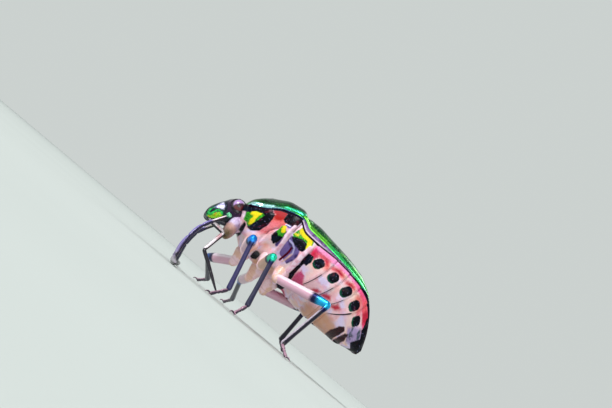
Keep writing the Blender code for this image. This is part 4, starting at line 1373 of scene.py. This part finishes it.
def make_feelers(finish):
    middle = np.array((*MIDDLE, 0))
    for side, way in FEELER_WAYS.items():
        sign = 1 if side == "left" else -1
        root = moved(body_pose @ head_pose, [np.array(FEELER_ROOT) * (1, sign, 1)])[0]
        points = [root] + [middle + np.array(point) for point in way]
        line = eased(points)
        # It is thinner here than in the frame, so what is laid on the floor comes down to it
        height = line[:, 2]
        laid = LAID_HEIGHT + (height - FRAME_LAID_HEIGHT) * 0.85
        line[:, 2] = np.where(height < LAID_BELOW, laid, height)
        mesh = bmesh.new()
        at = 0.0
        total = sum(FEELER_LENGTHS) + ROOT_STRETCH
        for i, length in enumerate((FEELER_LENGTHS[0] + ROOT_STRETCH, *FEELER_LENGTHS[1:])):
            radius = FEELER_RADII[i]
            girth = [(0, radius * 0.6), (0.06, radius * 0.85), (0.3, radius), (0.8, radius),
                     (0.96, radius * 0.9), (1, radius * 0.6)]
            if i == 0:
                girth[:3] = [(0, 0.06), (0.06, 0.075), (0.5, 0.1)]
            if i == 4:
                girth[3:] = [(0.7, radius * 0.9), (0.95, radius * 0.55), (1, radius * 0.3)]
            part = stretch_of(line, at - SEGMENT_OVERLAP if at else 0, at + length)
            limb(mesh, part, girth, 60, 18, span=(at / total, (at + length) / total))
            at += length
        nodes = [f"feeler_{side}_{i}" for i in range(1, 6)]
        piece(f"feeler_{side}", mesh, finish, nodes)


# Studio

FLOOR = paint(196, 202, 199)
FLOOR_SHADE = paint(190, 196, 193)
HORIZON = (0.6, 0.64, 0.625, 1)
ZENITH = (0.22, 0.25, 0.25, 1)
LAMPS = (  # name, place in metres, size, power
    ("key", (-0.52, -0.44, 0.64), 0.4, 8.0),
    ("side", (0.16, -1.0, 0.08), 0.6, 3.0),
    ("back", (0.4, 0.6, 0.6), 0.5, 4.0),
)


def make_studio():
    mesh = bmesh.new()
    bmesh.ops.create_circle(mesh, cap_ends=True, segments=96, radius=0.8)
    data = bpy.data.meshes.new("floor")
    mesh.to_mesh(data)
    mesh.free()
    floor = bpy.data.objects.new("floor", data)
    finish = Finish("floor", roughness=0.9, specular_ior_level=0.1)
    grain = finish.noise(finish.room(), 0.05, 2)
    finish.set(base_color=finish.mix(FLOOR, FLOOR_SHADE, grain))
    data.materials.append(finish.material)
    bpy.context.scene.collection.objects.link(floor)
    world = bpy.data.worlds.new("studio")
    world.use_nodes = True
    nodes, links = world.node_tree.nodes, world.node_tree.links
    place = nodes.new("ShaderNodeTexCoord")
    parts = nodes.new("ShaderNodeSeparateXYZ")
    ramp = nodes.new("ShaderNodeValToRGB")
    stops = ramp.color_ramp.elements
    stops[0].color = HORIZON
    stops[0].position = 0.35
    stops[1].color = ZENITH
    stops[1].position = 0.8
    links.new(place.outputs["Generated"], parts.inputs[0])
    links.new(parts.outputs["Z"], ramp.inputs[0])
    links.new(ramp.outputs[0], nodes["Background"].inputs["Color"])
    bpy.context.scene.world = world
    for name, place, size, power in LAMPS:
        light = bpy.data.lights.new(name, "AREA")
        light.shape = "DISK"
        light.size = size
        light.energy = power
        lamp = bpy.data.objects.new(name, light)
        lamp.location = place
        aim = Vector((0, 0, 0.005)) - Vector(place)
        lamp.rotation_euler = aim.to_track_quat("-Z", "Y").to_euler()
        bpy.context.scene.collection.objects.link(lamp)


CAMERA_PLACE = (-1.98, -89.87, 1.0)  # in millimetres
CAMERA_TARGET = (-1.98, 0.13, 8.23)
CAMERA_ROLL = math.radians(40)
FRAME_WIDTH = 38.6  # what the picture takes in at the target


def make_camera():
    place, target = Vector(CAMERA_PLACE) * MM, Vector(CAMERA_TARGET) * MM
    look = target - place
    distance = look.length
    look.normalize()
    level = look.cross(Vector((0, 0, 1))).normalized()
    up = level.cross(look)
    right = level * math.cos(CAMERA_ROLL) + up * math.sin(CAMERA_ROLL)
    top = up * math.cos(CAMERA_ROLL) - level * math.sin(CAMERA_ROLL)
    data = bpy.data.cameras.new("camera")
    data.sensor_width = 36
    data.lens = 36 * distance / (FRAME_WIDTH * MM)
    data.clip_start = 0.001
    camera = bpy.data.objects.new("camera", data)
    turn = Matrix((right, top, -look)).transposed().to_4x4()
    camera.matrix_world = Matrix.Translation(place) @ turn
    bpy.context.scene.collection.objects.link(camera)
    bpy.context.scene.camera = camera


def main():
    make_studio()
    make_camera()
    bpy.context.scene.view_settings.view_transform = "Standard"
    # Each shell: where its top starts, then its painted highlight's colours in front and behind, and where
    # they change
    make_pronotum(green_shell("neck_shield", 0.5, paint(190, 250, 250), paint(60, 226, 166), 3.2))
    make_scutellum(green_shell("back_shield", 0.6, paint(130, 236, 80), paint(70, 240, 130), 7.0))
    strip = wing_strip_finish()
    make_wing("left", -1, strip)
    make_wing("right", 1, strip)
    make_underside(underside_skin())
    make_head(head_skin())
    make_throat(throat_skin())
    red_bead = plain_finish("ocellus", paint(150, 30, 26), paint(90, 12, 16), 6, 0.12, 0.004,
                            coat_weight=0.8, coat_roughness=0.05)
    mint = plain_finish("feeler_root", paint(150, 226, 180), paint(70, 170, 120), 6, 0.28, 0.01,
                        metallic=0.4)
    make_eyes(eye_glaze(), red_bead, mint)
    navy = paint(16, 20, 74)
    blue, teal, cyan = paint(20, 140, 246), paint(30, 224, 180), paint(30, 180, 240)
    knees = {"front_left": blue, "mid_left": teal, "hind_left": cyan}
    # Limb colour pairs: the first of each is the painted highlight on the lit side, the second painted shade
    edges = {"front_left": (paint(96, 88, 170), paint(34, 26, 84)),
             "mid_left": (paint(110, 104, 160), paint(22, 18, 58)),
             "hind_left": (paint(204, 190, 208), paint(20, 14, 34))}
    rose = (paint(240, 220, 234), paint(212, 166, 186))
    tan = (paint(234, 204, 184), paint(212, 166, 140))
    thighs, shins = {}, {}
    for label in LEG_JOINTS:
        knee = knees.get(label, paint(18, 80, 170))
        light, dark = tan if label == "mid_left" else rose
        thighs[label] = limb_finish(f"thigh_{label}", light, dark, end=(0.27, knee, navy))
        pale, shaded = edges.get(label, (paint(110, 100, 130), paint(26, 20, 44)))
        shins[label] = limb_finish(f"shin_{label}", pale, shaded, root=(0.15, knee, navy), lit_from=0.5)
    # The foot's two colours are painted highlight and painted shade too
    foot = limb_finish("dark_foot", paint(170, 130, 150), paint(60, 40, 62))
    make_legs(hip_finish(), thighs, shins, foot)
    make_beak(beak_finish())
    make_feelers(feeler_finish())


main()
